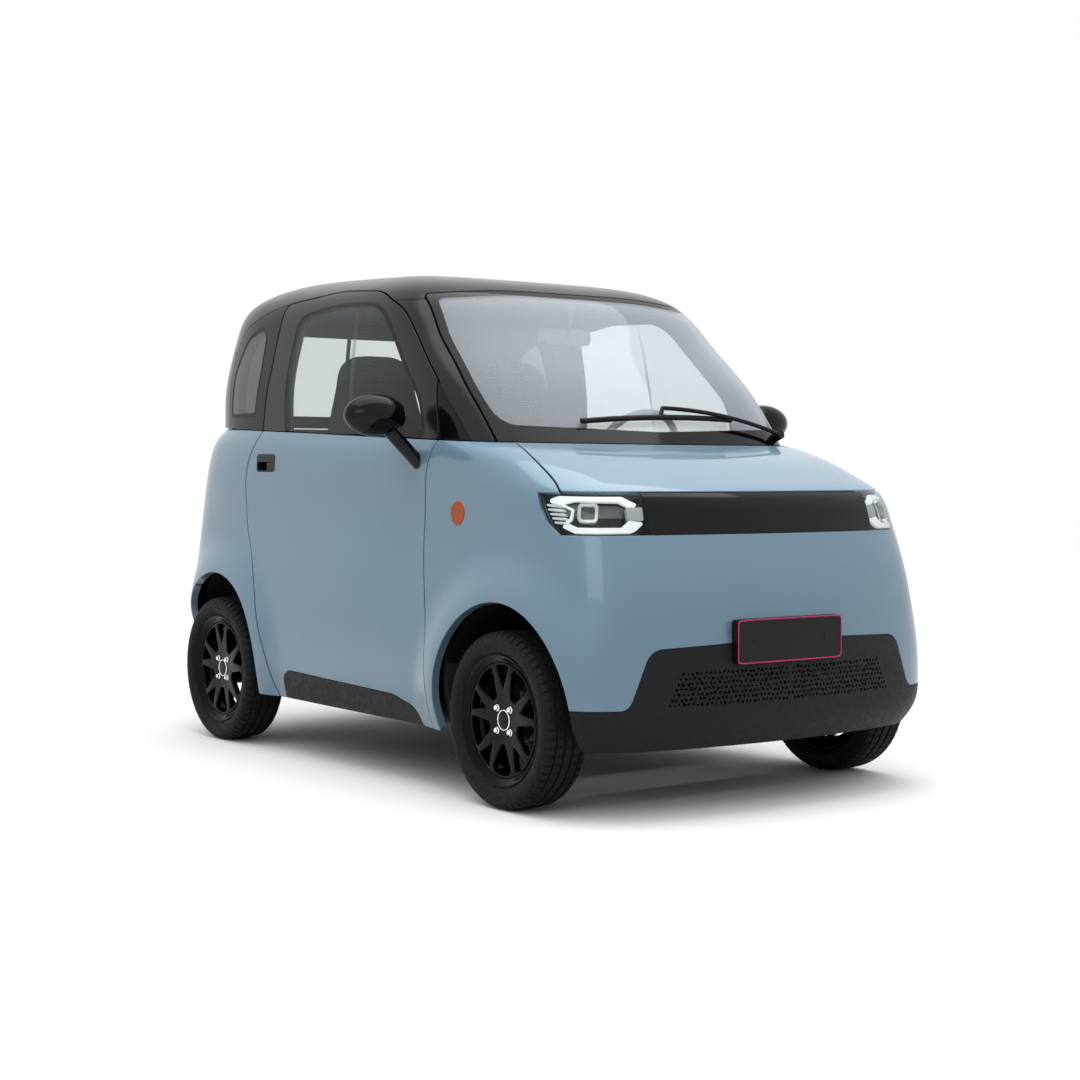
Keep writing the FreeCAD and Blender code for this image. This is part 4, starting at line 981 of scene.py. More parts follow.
# Sheets by cut, wall, edge radius and lift: name, label, bodies, finishes, and the nodes that it replaces
SHEETS = [
    (lower_cut, SKIN_WALL, EDGE_RADIUS, 0, [
        ("nose_skin", "body", BODY, BLUE, ["nose_panel"]),
        ("bonnet_skin", "bonnet", "bonnet", BLUE, ["bonnet"]),
        ("fascia_skin", "fascia", BODY, ["gloss_black", "liner_black"], ["fascia_strip"]),
        ("bumper_skin", "bumper", BODY, BLUE, ["rear_bumper"]),
        ("tail_cladding_skin", "tail_cladding", BODY, ["black_cladding"], ["rear_cladding"]),
        ("tailgate_skin", "tailgate", "tailgate", BLUE_TRIMMED, ["tailgate_panel"]),
        ("quarter_skin", "body_rear", SIDES, BLUE, ["quarter_panel"]),
    ]),
    (lower_cut, DOOR_WALL, EDGE_RADIUS, 0, [
        ("door_skin", "door", DOORS, BLUE_TRIMMED, ["door_panel"]),
        ("sill_trim", "trim", DOORS, ["black_cladding"], ["door_trim"]),
    ]),
    (lower_cut, SKIN_WALL, EDGE_RADIUS, 0, [
        ("tail_lamp_skin", "tail_lamp", BODY, ["lamp_red"], ["tail_lamps"]),
    ]),
    (upper_cut, CAB_WALL, EDGE_RADIUS, 0, [
        ("roof_skin", "roof", BODY, BLACK_TRIMMED, ["roof"]),
        ("pillar_skin", "pillars", BODY, BLACK_TRIMMED, ["greenhouse_frame"]),
        ("window_surround", "surround", BODY, ["gloss_black", "dash_plastic"]),
        ("door_frame_skin", "door", DOORS, BLACK_TRIMMED, ["door_frame"]),
        ("tailgate_frame_skin", "tailgate", "tailgate", BLACK_TRIMMED, ["tailgate_frame"]),
    ]),
    (upper_cut, GLASS_WALL, FINE_EDGE, 0, [
        ("windscreen_glass", "windscreen", BODY, ["screen_clear"], ["windscreen"], "glass_clear"),
    ]),
    (upper_cut, GLASS_WALL, 1.0, 0, [
        ("windscreen_border", "frit", BODY, ["gloss_black"]),
        ("quarter_pane", "quarter_glass", BODY, ["glass_dark"], ["quarter_glass"]),
        ("door_pane", "door_glass", DOORS, ["glass_clear"], ["door_glass"]),
        ("rear_pane", "rear_window", "tailgate", ["glass_clear"], ["rear_window"]),
    ]),
    (upper_cut, RUBBER_WALL, FINE_EDGE, -1.0, [
        ("door_rubber", "rubber_door", DOORS, ["wiper_black"]),
        ("quarter_rubber", "rubber_quarter", BODY, ["wiper_black"]),
        ("rear_rubber", "rubber_tailgate", "tailgate", ["wiper_black"]),
    ]),
    # Near-black sheets under every shut line: seals at the doors and tailgate, and painted shade in the other
    # gaps.
    (lower_cut, SEAL_WALL, FINE_EDGE, -SEAL_AND_SHADE_DEPTH, [
        ("front_seals", "seal", BODY, ["liner_black"]),
        ("rear_seals", "seal_rear", BODY, ["liner_black"]),
    ]),
    (upper_cut, SEAL_WALL, FINE_EDGE, -SEAL_AND_SHADE_DEPTH, [("cab_seals", "seal", BODY, ["liner_black"])]),
]
for cut, wall, radius, lift, sheets in SHEETS:
    for name, label, *rest in sheets:
        fit(name, shell(cut, label, wall, radius, lift), *rest)


# Smaller pieces, lofted through rings of points
def ring_of(x, y, z):
    """Points from three rows of coordinates, any of which may be one number."""
    return np.stack(np.broadcast_arrays(x, y, z), -1)


def round_turns(count):
    return np.arange(count) * 2 * math.pi / count


def loft(rings, round_trip=False):
    """Vertices and faces through rings with the same number of points each."""
    count = len(rings[0])
    levels = len(rings) if round_trip else len(rings) - 1
    faces = []
    for level in range(levels):
        low, high = level * count, (level + 1) % len(rings) * count
        for i in range(count):
            j = (i + 1) % count
            faces.append((low + i, low + j, high + j, high + i))
    if not round_trip:
        faces.append(tuple(range(count))[::-1])
        faces.append(tuple(range(levels * count, len(rings) * count)))
    return np.vstack(rings), faces


def detail(name, shapes, body, look, slot=None, replaces=(), angle=40):
    """One object from several lofts, smooth except at its sharp edges."""
    vertices, faces = [], []
    for points, quads in shapes:
        start = len(vertices)
        vertices += list(points)
        faces += [tuple(start + i for i in quad) for quad in quads]
    made = placed(name, np.array(vertices), faces, np.zeros(len(faces)), [look], body, replaces)
    work = bmesh.new()
    work.from_mesh(made.data)
    bmesh.ops.recalc_face_normals(work, faces=work.faces)
    work.to_mesh(made.data)
    work.free()
    made.data.shade_smooth()
    made.data.set_sharp_from_angle(angle=math.radians(angle))
    return made


def shifted(shape, offset, side=1):
    """A shape moved by an offset, and mirrored first for the right-hand side."""
    vertices, faces = shape
    return vertices * np.array([1, side, 1]) + np.array(offset), faces


def turned(shape, centre, matrix):
    vertices, faces = shape
    return vertices @ np.array(matrix).T + np.array(centre), faces


def aimed(shape, centre, direction):
    """A shape made round the y axis, turned to another direction and placed."""
    return turned(shape, centre, Vector(direction).to_track_quat("Y", "Z").to_matrix())


def lathe(profile, segments, round_trip=False):
    """A shape turned round the y axis from (y, radius) points."""
    turn = round_turns(segments)
    return loft([ring_of(r * np.sin(turn), y, r * np.cos(turn)) for y, r in profile], round_trip)


def bent_tube(path, radii, segments=20):
    """A round tube through points, with a radius at each."""
    path = [Vector(p) for p in path]
    angle = round_turns(segments)
    rings = []
    for i, (point, radius) in enumerate(zip(path, radii)):
        along = (path[min(i + 1, len(path) - 1)] - path[max(i - 1, 0)]).normalized()
        turn = np.array(along.to_track_quat("Z", "Y").to_matrix())
        rings.append(ring_of(radius * np.cos(angle), radius * np.sin(angle), 0.0) @ turn.T + np.array(point))
    return loft(rings)


def oblong(half_a, half_b, power, count):
    """A rounded rectangle as points round a centre."""
    turn = round_turns(count)
    c, s = np.cos(turn), np.sin(turn)
    reach = (np.abs(c)**power + np.abs(s)**power)**(-1 / power)
    return half_a * reach * c, half_b * reach * s


# Tyres with grooves round the tread and short cuts across its shoulders
TYRE_WALL = [
    (50, 179), (54, 182), (56.5, 188), (58, 194), (61, 197), (63, 199.5), (65.5, 200.5), (66.5, 203),
    (68, 204.5), (71, 207), (74, 213), (76.2, 220), (77.3, 227), (77.4, 233), (76.4, 240), (75.0, 243),
    (74.6, 245), (73.2, 246.5), (71.6, 250), (68.5, 254.2), (64.5, 257.2),
]
TYRE_TREAD = [
    (60, 259.3), (55, 260.4), (51, 261), (48.6, 261.3), (48.2, 256.5), (43, 256.5), (42.6, 261.8), (39, 262),
    (30, 262.3), (22, 262.6), (18.6, 262.7), (18.2, 257.5), (11, 257.5), (10.6, 262.9), (6, 263),
]
PITCHES = 60
PITCH_STEPS = (0.0, 0.35, 0.70, 0.74, 0.96)
CUT_DEPTH = 4.0
CUT_START = 0.72
SHOULDER = (50, 74.8)
SHOULDER_LOW = 244
RIBS = (20, 38)
RIBS_LOW = 260
CUT_LEAN = 0.012


def tyre():
    half = TYRE_WALL + TYRE_TREAD
    steps = [(pitch, share) for pitch in range(PITCHES) for share in PITCH_STEPS]
    turn = np.array([pitch + share for pitch, share in steps]) * 2 * math.pi / PITCHES
    cut = np.array([share > CUT_START for pitch, share in steps])
    rings = []
    for y, r in half + [(-y, r) for y, r in reversed(half)]:
        width = abs(y)
        deep = 0.0
        if SHOULDER[0] < width < SHOULDER[1] and r > SHOULDER_LOW:
            deep = CUT_DEPTH * min(1.0, (SHOULDER[1] + 0.4 - width) / 4, (width - SHOULDER[0] + 0.5) / 2)
        elif RIBS[0] < width < RIBS[1] and r > RIBS_LOW:
            deep = CUT_DEPTH * 0.7
        lean = CUT_LEAN * (width - 30) / 30 * (1 if y > 0 else -1)
        radius = np.where(cut, r - deep, r)
        rings.append(ring_of(radius * np.sin(turn + lean), float(y), radius * np.cos(turn + lean)))
    return loft(rings, True)


# Wheels: a barrel with its lip, and a face with five wide and five narrow openings
BARREL = [
    (-62, 187), (-63, 191), (-62, 195), (-58, 196), (-55, 194), (-54, 180), (-36, 179), (-26, 160), (14, 160),
    (26, 178.5), (54, 178.5), (55.5, 193), (57.5, 196), (61, 196.5), (63.4, 194.5), (63.8, 191),
    (62.2, 187.5), (56, 180), (51, 172), (30, 171), (16, 153), (-28, 153), (-40, 171), (-52, 171),
]
WHEEL_OPENING = [(-10, 74, 13), (10, 74, 13), (19, 163, 18), (0, 167, 300), (-19, 163, 18)]
FORK_OPENING = [(0, 86, 5), (12, 163, 9), (0, 165, 300), (-12, 163, 9)]
FACE_RADIUS = 171.5
FACE_EDGE = 3.5
FACE_WALL = 20
FACE_MIDDLE, FACE_RISE, FACE_CREST = 44.0, 10.0, 150.0
SPOKES = 5
CAP_RADIUS = 27
NUT_CIRCLE = 47
NUTS = 4
FACE_SPACING = 7.0
FACE_ROOM = 3


class Face:
    """A wheel's face. A place on it is (z, x) from the wheel's middle."""

    halved = False

    def point(self, place):
        r = np.hypot(place[..., 0], place[..., 1])
        rise = FACE_RISE * (1 - np.cos(math.pi * np.minimum(r, FACE_CREST) / FACE_CREST)) / 2
        y = FACE_MIDDLE + rise - 0.006 * np.maximum(r - FACE_CREST, 0)**2
        return np.stack([place[..., 1], y, place[..., 0]], -1)

    def normal(self, place):
        up, side = (self.point(place + np.array(step)) - self.point(place - np.array(step))
                    for step in ((0.5, 0), (0, 0.5)))
        return unit(np.cross(up, side))


def polar_outline(corners, turn):
    """A rounded outline from (angle, radius, corner radius), turned, and grown by the face's edge."""
    spots = [(r * math.cos(math.radians(a)), r * math.sin(math.radians(a))) for a, r, corner in corners]
    middle = np.mean(spots, 0)
    cos, sin = math.cos(math.radians(turn)), math.sin(math.radians(turn))
    points = []
    for spot, (a, r, corner) in zip(spots, corners):
        point = np.array(spot) - middle
        point = middle + point * (1 + FACE_EDGE / np.linalg.norm(point))
        points.append((point[0] * cos - point[1] * sin, point[0] * sin + point[1] * cos, corner))
    return rounded(points, True, 3.0)


def wheel_face():
    rings = [np.array(circle_outline((0, 0), FACE_RADIUS - FACE_EDGE, ROUND))]
    for spoke in range(SPOKES):
        turn = 360 / SPOKES * spoke
        rings.append(polar_outline(FORK_OPENING, turn))
        rings.append(polar_outline(WHEEL_OPENING, turn + 180 / SPOKES))
    steps = np.arange(-168, 169, FACE_SPACING)
    spots = [((a, b), False) for a in steps for b in steps if math.hypot(a, b) < FACE_RADIUS - FACE_SPACING]
    flat, triangles, middle = triangulated(rings, spots, FACE_ROOM)
    kept = inside(rings[0], middle)
    for ring in rings[1:]:
        kept &= ~inside(ring, middle)
    triangles = triangles[kept]
    face_up(flat, triangles)
    names = np.array(["face"] * len(triangles), object)
    return shell((Face(), flat, triangles, names), "face", FACE_WALL, FACE_EDGE)[:2]


def wheel_shapes():
    """The rim in its paint, then the bright pieces."""
    hub = lathe([(-26, 20), (-26, 60), (30, 60), (30, 20)], 48, True)
    cap = lathe([(40, CAP_RADIUS + 1), (46.5, CAP_RADIUS + 1), (48.5, CAP_RADIUS - 1), (49.3, CAP_RADIUS - 8),
                 (49.6, 6)], 48)
    dark = [wheel_face(), lathe(BARREL, 160, True), hub, cap]
    bright = [lathe([(44, 27), (48.2, 27.4), (49.4, 28.6), (49.4, 30), (48, 31.4), (44, 31.6)], 64, True)]
    for nut in range(NUTS):
        turn = math.radians(360 / NUTS * nut + 45)
        spot = (NUT_CIRCLE * math.sin(turn), 0, NUT_CIRCLE * math.cos(turn))
        bright.append(shifted(lathe([(42, 10.5), (47.5, 10.5), (48.5, 9.5), (48.5, 7)], 32), spot))
        bright.append(shifted(lathe([(46, 8), (54, 8), (56, 6.6), (56.6, 4.5)], 6), spot))
    return dark, bright


dark_shapes, bright_shapes = wheel_shapes()
# Name, shapes, finish, slot, the node that it replaces and the angle of its sharp edges
WHEEL_PIECES = [
    ("tyre_tread_", [tyre()], "tyre_rubber", "tyre_rubber", "tyre_", 28),
    ("wheel_rim_", dark_shapes, "rim_black", "rim_black", "rim_", 30),
    ("wheel_nuts_", bright_shapes, "chrome", "rim_black", "", 30),
]
for end, axle_x in (("front", 0), ("rear", -WHEELBASE)):
    for side, sign in (("left", 1), ("right", -1)):
        where = f"{end}_{side}"
        centre = (axle_x, sign * WHEEL_Y, TYRE_RADIUS)
        for name, shapes, look, slot, node, angle in WHEEL_PIECES:
            at_wheel = [shifted(shape, centre, sign) for shape in shapes]
            replaced = [node + where] if node else []
            detail(name + where, at_wheel, "wheel_" + where, look, slot, replaced, angle)


# Headlamps: a dark housing behind a clear lens, with the light guide, fins and projector in it
LAMP_FEATURES = [
    ("guide", [(520, 908, 6), (455, 926, 6), (195, 927, 20), (117, 898, 4), (165, 898, 4), (204, 913, 12),
               (380, 915, 20), (448, 903, 4)]),
    ("guide", [(453, 841, 4), (399, 843, 8), (367, 835, 8), (184, 835, 8), (156, 854, 4), (98, 849, 4),
               (130, 828, 6), (149, 822, 6), (380, 821, 10)]),
    ("block", [(170, 893, 4), (110, 893, 4), (102, 857, 4), (160, 857, 4)]),
    ("guide", [(438, 902, 1), (389, 888, 3), (397, 857, 3), (418, 848, 1), (419, 852, 1), (402, 860, 3),
               (394, 885, 3), (436, 897, 1)]),
    ("ring", [(367, 905, 14), (283, 905, 14), (283, 852, 14), (367, 852, 14)]),
    ("eye", [(358, 899, 11), (292, 899, 11), (292, 858, 11), (358, 858, 11)]),
]
LAMP_FINS = [(513, 445, 899), (507, 438, 886), (496, 432, 873), (486, 425, 861), (474, 417, 849)]
FIN_HALF = 2.0
REFLECTOR = [(500, 870, 6), (520, 922, 6), (112, 922, 6), (104, 870, 6)]
LAMP_TURNS = (0.2, 1.3)
HOUSING_LIFT = -36
REFLECTOR_LIFT = -33
GUIDE_LIFT = -9


def lamp_view(p):
    """Distance round the corner against height."""
    return np.stack([p[..., 1] - p[..., 0], p[..., 2]], -1)


def on_lamp(outline, label):
    line = lower.locate(lamp_view, rounded(outline, True, 4.0), LAMP_TURNS, (0.3, 0.9))
    return opening(line, 0, label)


lamp_entries = [opening(lamp(), 0, "housing"), on_lamp(REFLECTOR, "reflector")]
lamp_entries += [on_lamp(outline, label) for label, outline in LAMP_FEATURES]
for outer_end, inner_end, z in LAMP_FINS:
    low, high = z - FIN_HALF, z + FIN_HALF
    fin = [(outer_end, low, 1), (outer_end, high, 1), (inner_end, high, 1), (inner_end, low, 1)]
    lamp_entries.append(on_lamp(fin, "fin"))
lamp_cut = cut_skin(lower, lamp_entries, "", LAMP_SPACING)
fit("headlamp_lens", shell(lower_cut, "lamp", 4), SIDES, ["lamp_clear"], ["headlamp"])

# Door handle: a bowl under a grip
HANDLE_GRIP = [(-1573, 1022, 6), (-1573, 1050, 14), (-1433, 1050, 14), (-1433, 1022, 6)]
handle_cut = cut_skin(lower, [
    panel("bowl", on_side(lower, HANDLE), 5, "edge", 0),
    opening(on_side(lower, HANDLE_GRIP), -3, "grip"),
], "", HANDLE_SPACING)

# Lamp internals, side marker and handle: name, cut, label, wall, edge radius, lift, finish, slot and bodies
LAMP_LABELS = ["housing", "reflector", "guide", "block", "ring", "eye", "fin"]
INNER_PIECES = [
    ("headlamp_housing", lamp_cut, LAMP_LABELS, 3, 0.5, HOUSING_LIFT, "lamp_black", "lamp_clear", SIDES),
    ("lamp_reflector", lamp_cut, "reflector", 2, 0.5, REFLECTOR_LIFT, "reflector_grey", "lamp_clear", SIDES),
    ("light_guide", lamp_cut, "guide", 9, 1.6, GUIDE_LIFT, "light_guide", "lamp_clear", SIDES),
    ("lamp_block", lamp_cut, "block", 14, 2.0, GUIDE_LIFT, "lens_block", "lamp_clear", SIDES),
    ("lamp_fins", lamp_cut, "fin", 18, 0.8, GUIDE_LIFT - 4, "fin_white", "lamp_clear", SIDES),
    ("projector_ring", lamp_cut, "ring", 20, 2.0, GUIDE_LIFT, "ring_silver", "lamp_clear", SIDES),
    ("projector_eye", lamp_cut, "eye", 8, 1.0, GUIDE_LIFT - 8, "lamp_glass", "lamp_clear", SIDES),
    ("side_marker", lower_cut, "marker", 14, 3.0, 2.0, "amber", "lamp_clear", SIDES),
    ("handle_bowl", lower_cut, "handle", 3, 0.5, -20, "gloss_black", "gloss_black", DOORS),
    ("handle_edge", handle_cut, "edge", 22, 1.0, -1.0, "black_cladding", "gloss_black", DOORS),
    ("handle_grip", handle_cut, "grip", 7, 2.0, 0.0, "gloss_black", "gloss_black", DOORS),
]
for name, cut, label, wall, radius, lift, look, slot, bodies in INNER_PIECES:
    fit(name, shell(cut, label, wall, radius, lift), bodies, [look], (), slot)

# Nose cladding with its field of small three-cornered holes
HOLE_ROWS = 7
HOLE_LOW, HOLE_HIGH = 331, 418
HOLE_END_LOW, HOLE_END_HIGH = 440, 398
HOLE_STEP = 15.5
HOLE_RADIUS = 8.0
HOLE_EDGE = 0.7
HOLE_ZONE_Z = (320, 430)
HOLE_ZONE_Y = 460
HOLE_SEED = 11


def hole_outlines():
    """Small triangles in rows, each turned and moved a little."""
    chance = np.random.default_rng(HOLE_SEED)
    outlines = []
    for row in range(HOLE_ROWS):
        share = row / (HOLE_ROWS - 1)
        z = HOLE_LOW + (HOLE_HIGH - HOLE_LOW) * share
        end = HOLE_END_LOW + (HOLE_END_HIGH - HOLE_END_LOW) * share
        y = HOLE_STEP * (0.5 if row % 2 else 1.0)
        up = row % 2
        while y < end:
            turn = math.pi * up + chance.uniform(-0.6, 0.6)
            size = HOLE_RADIUS * chance.uniform(0.60, 1.0)
            middle = (y + chance.uniform(-1.8, 1.8), z + chance.uniform(-2.2, 2.2))
            thirds = [turn + k * 2 * math.pi / 3 for k in range(3)]
            outlines.append([(middle[0] + size * math.sin(a), middle[1] + size * math.cos(a))
                             for a in thirds])
            y += HOLE_STEP
            up = 1 - up
    return outlines


corners = [corner for hole in hole_outlines() for corner in hole]
hole_places = lower.locate(end_view, corners, FRONT_TURNS).reshape(-1, 3, 2)
grille_cut = cut_skin(lower, [
    panel("nose_cladding", nose_outline, strip=""),
    *(opening(hole, HOLE_EDGE) for hole in hole_places),
    opening(beyond(1, ABOVE), EDGE_RADIUS + 1),
    opening(arch(0, FRONT_ARCH_RADIUS)),
], "", LOWER_SPACING)


def hole_edges(p):
    """A finer edge round the small holes than round the panel."""
    small = (p[:, 2] > HOLE_ZONE_Z[0]) & (p[:, 2] < HOLE_ZONE_Z[1]) & (np.abs(p[:, 1]) < HOLE_ZONE_Y)
    return np.where(small & (p[:, 0] > 0), HOLE_EDGE, EDGE_RADIUS)


fit("nose_cladding_skin", shell(grille_cut, "nose_cladding", 8, hole_edges), BODY, ["black_cladding"],
    ["nose_cladding"])
fit("grille_back", shell(lower_cut, "nose_cladding", SEAL_WALL, FINE_EDGE, -24), BODY, ["liner_black"])


# Number plates: a blank face with a thin edge and two screws
PLATE_HALF_WIDTH = 208
PLATE_EDGE = 4.5
PLATE_SCREW_Y = 140
PLATE_THICK = 26
PLATE_INSET = 1.6
# Name, the face's x, its lowest and highest z, its middle's y and the way that it faces
PLATES = [("front", 489, (438, 568), -10, 1), ("rear", -2231, (330, 440), 0, -1)]
# The rings of the blank and of its edge, as (inset from the outline, depth ahead of the face)
PLATE_BLANK = [(1.0, -PLATE_THICK), (0.0, -PLATE_THICK), (0.0, -1.0), (0.6, -0.2), (1.6, 0.0), (8.0, 0.0)]
PLATE_BORDER = [(1.0, -1.5), (1.0, 0.9), (1.6, 1.3), (PLATE_EDGE - 0.6, 1.3), (PLATE_EDGE, 0.9),
                (PLATE_EDGE, -1.5)]
SCREW_HEAD = [(-4, 2.6), (0.1, 2.6), (0.1, 6.2), (0.9, 6.0), (1.4, 4.6), (1.5, 2.6), (0.8, 2.2)]


def plate_rings(steps, middle, half_height, outward):
    rings = []
    for inset, depth in steps:
        a, b = oblong(PLATE_HALF_WIDTH - inset, half_height - inset, 24, 96)
        rings.append(ring_of(middle[0] + outward * depth, middle[1] + a, middle[2] + b))
    return rings


for end, face_x, (low, high), middle_y, outward in PLATES:
    x, z = face_x - outward * PLATE_INSET, (low + high) / 2
    place = ((x, middle_y, z), (high - low) / 2, outward)
    blank = loft(plate_rings(PLATE_BLANK, *place))
    border = loft(plate_rings(PLATE_BORDER, *place), True)
    screws = [aimed(lathe(SCREW_HEAD, 32), (x, middle_y + side * PLATE_SCREW_Y, z), (outward, 0, 0))
              for side in (-1, 1)]
    detail("plate_face_" + end, [blank], BODY, "plate_black", None, ["plate_" + end], 32)
    detail("plate_edge_" + end, [border], BODY, "plate_edge", "plate_black", (), 32)
    detail("plate_screws_" + end, screws, BODY, "wiper_black", "plate_black", (), 32)


# Seats: crowned cushions with bolsters and sewn channels
SEAT_Y = 300
SEAT_RING = 144
BACK_RINGS = 96
CUSHION_RINGS = 72
BACK_PROFILE = [
    (500, -1185, -1398, 215), (530, -1190, -1402, 226), (700, -1222, -1418, 234), (900, -1256, -1436, 232),
    (1100, -1292, -1449, 196), (1230, -1316, -1446, 165), (1300, -1328, -1440, 150),
    (1352, -1336, -1436, 139), (1384, -1345, -1430, 114), (1400, -1356, -1420, 82), (1405, -1372, -1406, 48),
]
CUSHION_PROFILE = [
    (-824, 424, 500, 150), (-828, 414, 516, 196), (-850, 411, 527, 222), (-950, 411, 525, 234),
    (-1100, 411, 519, 236), (-1250, 411, 519, 232), (-1330, 414, 520, 220), (-1352, 424, 505, 180),
]
BOLSTER_DIP = 26
CHANNEL_DIP = 4.5
CHANNEL_STEP = 62
SEAM_DIP = 5.0
SEAM_SHARE = 0.60
SEAT_ROUND = 3.4
SEAM_WIDTH = 0.035
PIPING_RADIUS = 2.2
PIPING_SHARE = SEAM_SHARE + 0.03


def profile_at(profile, start, end, count):
    """A smooth line through a profile's rows, between two shares of its length."""
    rows = np.array(profile, float)
    knots = np.concatenate([[0], np.cumsum(np.hypot(np.diff(rows[:, 0]), np.diff(rows[:, 1])))])
    return zip(*Splines(knots / knots[-1], rows).at(np.linspace(start, end, count)))


def fade(t, start, end, least=0.0):
    """Rises from the least to 1 between a start and an end."""
    return np.clip((t - start) / (end - start), least, 1)


def quilted(across, along, low, high):
    """How far the padded face dips, across the seat and along it."""
    middle = np.clip(1 - (np.abs(across) / SEAM_SHARE)**2, 0, 1)
    dip = BOLSTER_DIP * np.clip(1.25 * middle, 0, 1)**0.8
    dip += SEAM_DIP * np.exp(-((np.abs(across) - SEAM_SHARE) / SEAM_WIDTH)**2)
    wave = np.abs(np.mod(along / CHANNEL_STEP, 1) - 0.5) * 2
    channel = CHANNEL_DIP * (1 - np.sqrt(np.clip(1 - wave**4, 0, 1)))
    padded = (np.abs(across) < SEAM_SHARE) & (along > low) & (along < high)
    return dip + np.where(padded, channel, 0)


def padded_ring(near, far, half, along, zone, strength):
    """Places across a seat and out from it, for one ring whose padded face lies at the greater end."""
    across, out = oblong(half, abs(near - far) / 2, SEAT_ROUND, SEAT_RING)
    dip = quilted(across / half, along, *zone) * strength * (out > 0)
    return across, (near + far) / 2 + out - dip


def backrest(middle_y):
    rings = []
    for z, front, rear, half in profile_at(BACK_PROFILE, 0, 1, BACK_RINGS):
        strength = fade(z, 1210, 1090, 0.12) * fade(z, 1403, 1343)
        across, x = padded_ring(front, rear, half, z, (560, 1130), strength)
        rings.append(ring_of(x, middle_y + across, z))
    return loft(rings)


def cushion(middle_y):
    rings = []
    for x, low, high, half in profile_at(CUSHION_PROFILE, 0, 1, CUSHION_RINGS):
        strength = fade(x, -826, -876) * fade(x, -1350, -1290)
        across, z = padded_ring(low, high, half, x + 3000, (1720, 2090), strength)
        rings.append(ring_of(x, middle_y + across, z))
    return loft(rings)


def seat_base(middle_y):
    rings = []
    for z, grow in ((256, -4), (256, 0), (262, 0), (268, -16), (392, -22), (400, -8), (411, -8), (412, -14)):
        along, across = oblong(195 + grow, 168 + grow, 10, 64)
        rings.append(ring_of(-1095 + along, middle_y + across, z))
    return loft(rings)


def piping(middle_y):
    """The sewn cord along both bolsters of the backrest."""
    shapes = []
    for side in (-1, 1):
        path = []
        for z, front, rear, half in profile_at(BACK_PROFILE, 0.12, 0.62, 60):
            out = (front - rear) / 2 * (1 - PIPING_SHARE**SEAT_ROUND)**(1 / SEAT_ROUND)
            path.append(((front + rear) / 2 + out - 1.0, middle_y + side * half * PIPING_SHARE, z))
        shapes.append(bent_tube(path, [PIPING_RADIUS] * len(path), 10))
    return shapes


for side, middle_y in (("left", SEAT_Y), ("right", -SEAT_Y)):
    pad = detail("seat_cushion_" + side, [cushion(middle_y)], BODY, "seat_cloth", None, ["seat_" + side], 70)
    pad = detail("seat_back_" + side, [backrest(middle_y)], BODY, "seat_cloth", angle=70)
    detail("seat_piping_" + side, piping(middle_y), BODY, "seat_thread", "seat_cloth", angle=60)
    detail("seat_base_" + side, [seat_base(middle_y)], BODY, "dash_plastic", angle=30)

# Steering wheel: a gripped rim, three spokes and a crowned pad, made round the y axis and then tilted
WHEEL_TILT = 28
STEERING_CENTRE = (-640, 300, 1040)
STEERING_RADIUS = 178
GRIP_SEGMENTS = 120
STEERING = "steering_wheel"


def grip():
    angle = round_turns(24)
    rings = []
    for k in range(GRIP_SEGMENTS):
        turn = 2 * math.pi * k / GRIP_SEGMENTS
        swell = 12.4 + 1.4 * math.exp(-((abs(math.sin(turn)) - 0.72) / 0.16)**2)
        r = STEERING_RADIUS + swell * 0.92 * np.cos(angle)
        rings.append(ring_of(r * math.cos(turn), swell * np.sin(angle), r * math.sin(turn)))
    return loft(rings, True)


def spoke(turn, width=17):
    c, s = math.cos(turn), math.sin(turn)
    rings = []
    for r, share, thick, y in ((40, 1.4, 12, -16), (80, 1.0, 9, -12), (130, 0.8, 7, -5), (172, 0.9, 7, -1)):
        side, out = oblong(width * share, thick, 3.0, 32)
        rings.append(ring_of(r * c - side * s, y + out, r * s + side * c))
    return loft(rings)


def hub_pad():
    rings = []
    for y, share in ((-38, 0.55), (-34, 0.9), (-18, 1.0), (-8, 1.0), (-3, 0.93), (0, 0.72), (0.8, 0.2)):
        a, b = oblong(58 * share, 50 * share, 3.2, 64)
        rings.append(ring_of(a, y, b))
    return loft(rings)


def tilted(shape):
    """Takes the wheel's own y axis to the steering axis and keeps its z upward."""
    tilt = math.radians(WHEEL_TILT)
    axis = Vector((-math.cos(tilt), 0, math.sin(tilt)))
    side = Vector((0, 1, 0))
    up = axis.cross(side)
    if up.z < 0:
        up, side = -up, -side
    return turned(shape, STEERING_CENTRE, np.array([side, axis, up]).T)


detail("steering_grip", [tilted(grip())], STEERING, "grip_grey", "dash_plastic", [STEERING], 50)
spokes = [tilted(spoke(turn)) for turn in (0.0, math.pi, -math.pi / 2)]
detail("steering_spokes", spokes, STEERING, "dash_plastic")
detail("steering_pad", [tilted(hub_pad())], STEERING, "dash_plastic")


# Interior mirror on its stalk, a display, an instrument pod and air vents
def rounded_box(centre, half, power, lean, levels, count):
    """A box with soft edges that leans back, facing the seats, through (depth, share of its size) levels."""
    rings = []
    for depth, share in levels:
        a, b = oblong(half[1] * share, half[2] * share, power, count)
        rings.append(ring_of(centre[0] - depth * half[0] - lean * b, centre[1] + a, centre[2] + b))
    return loft(rings)


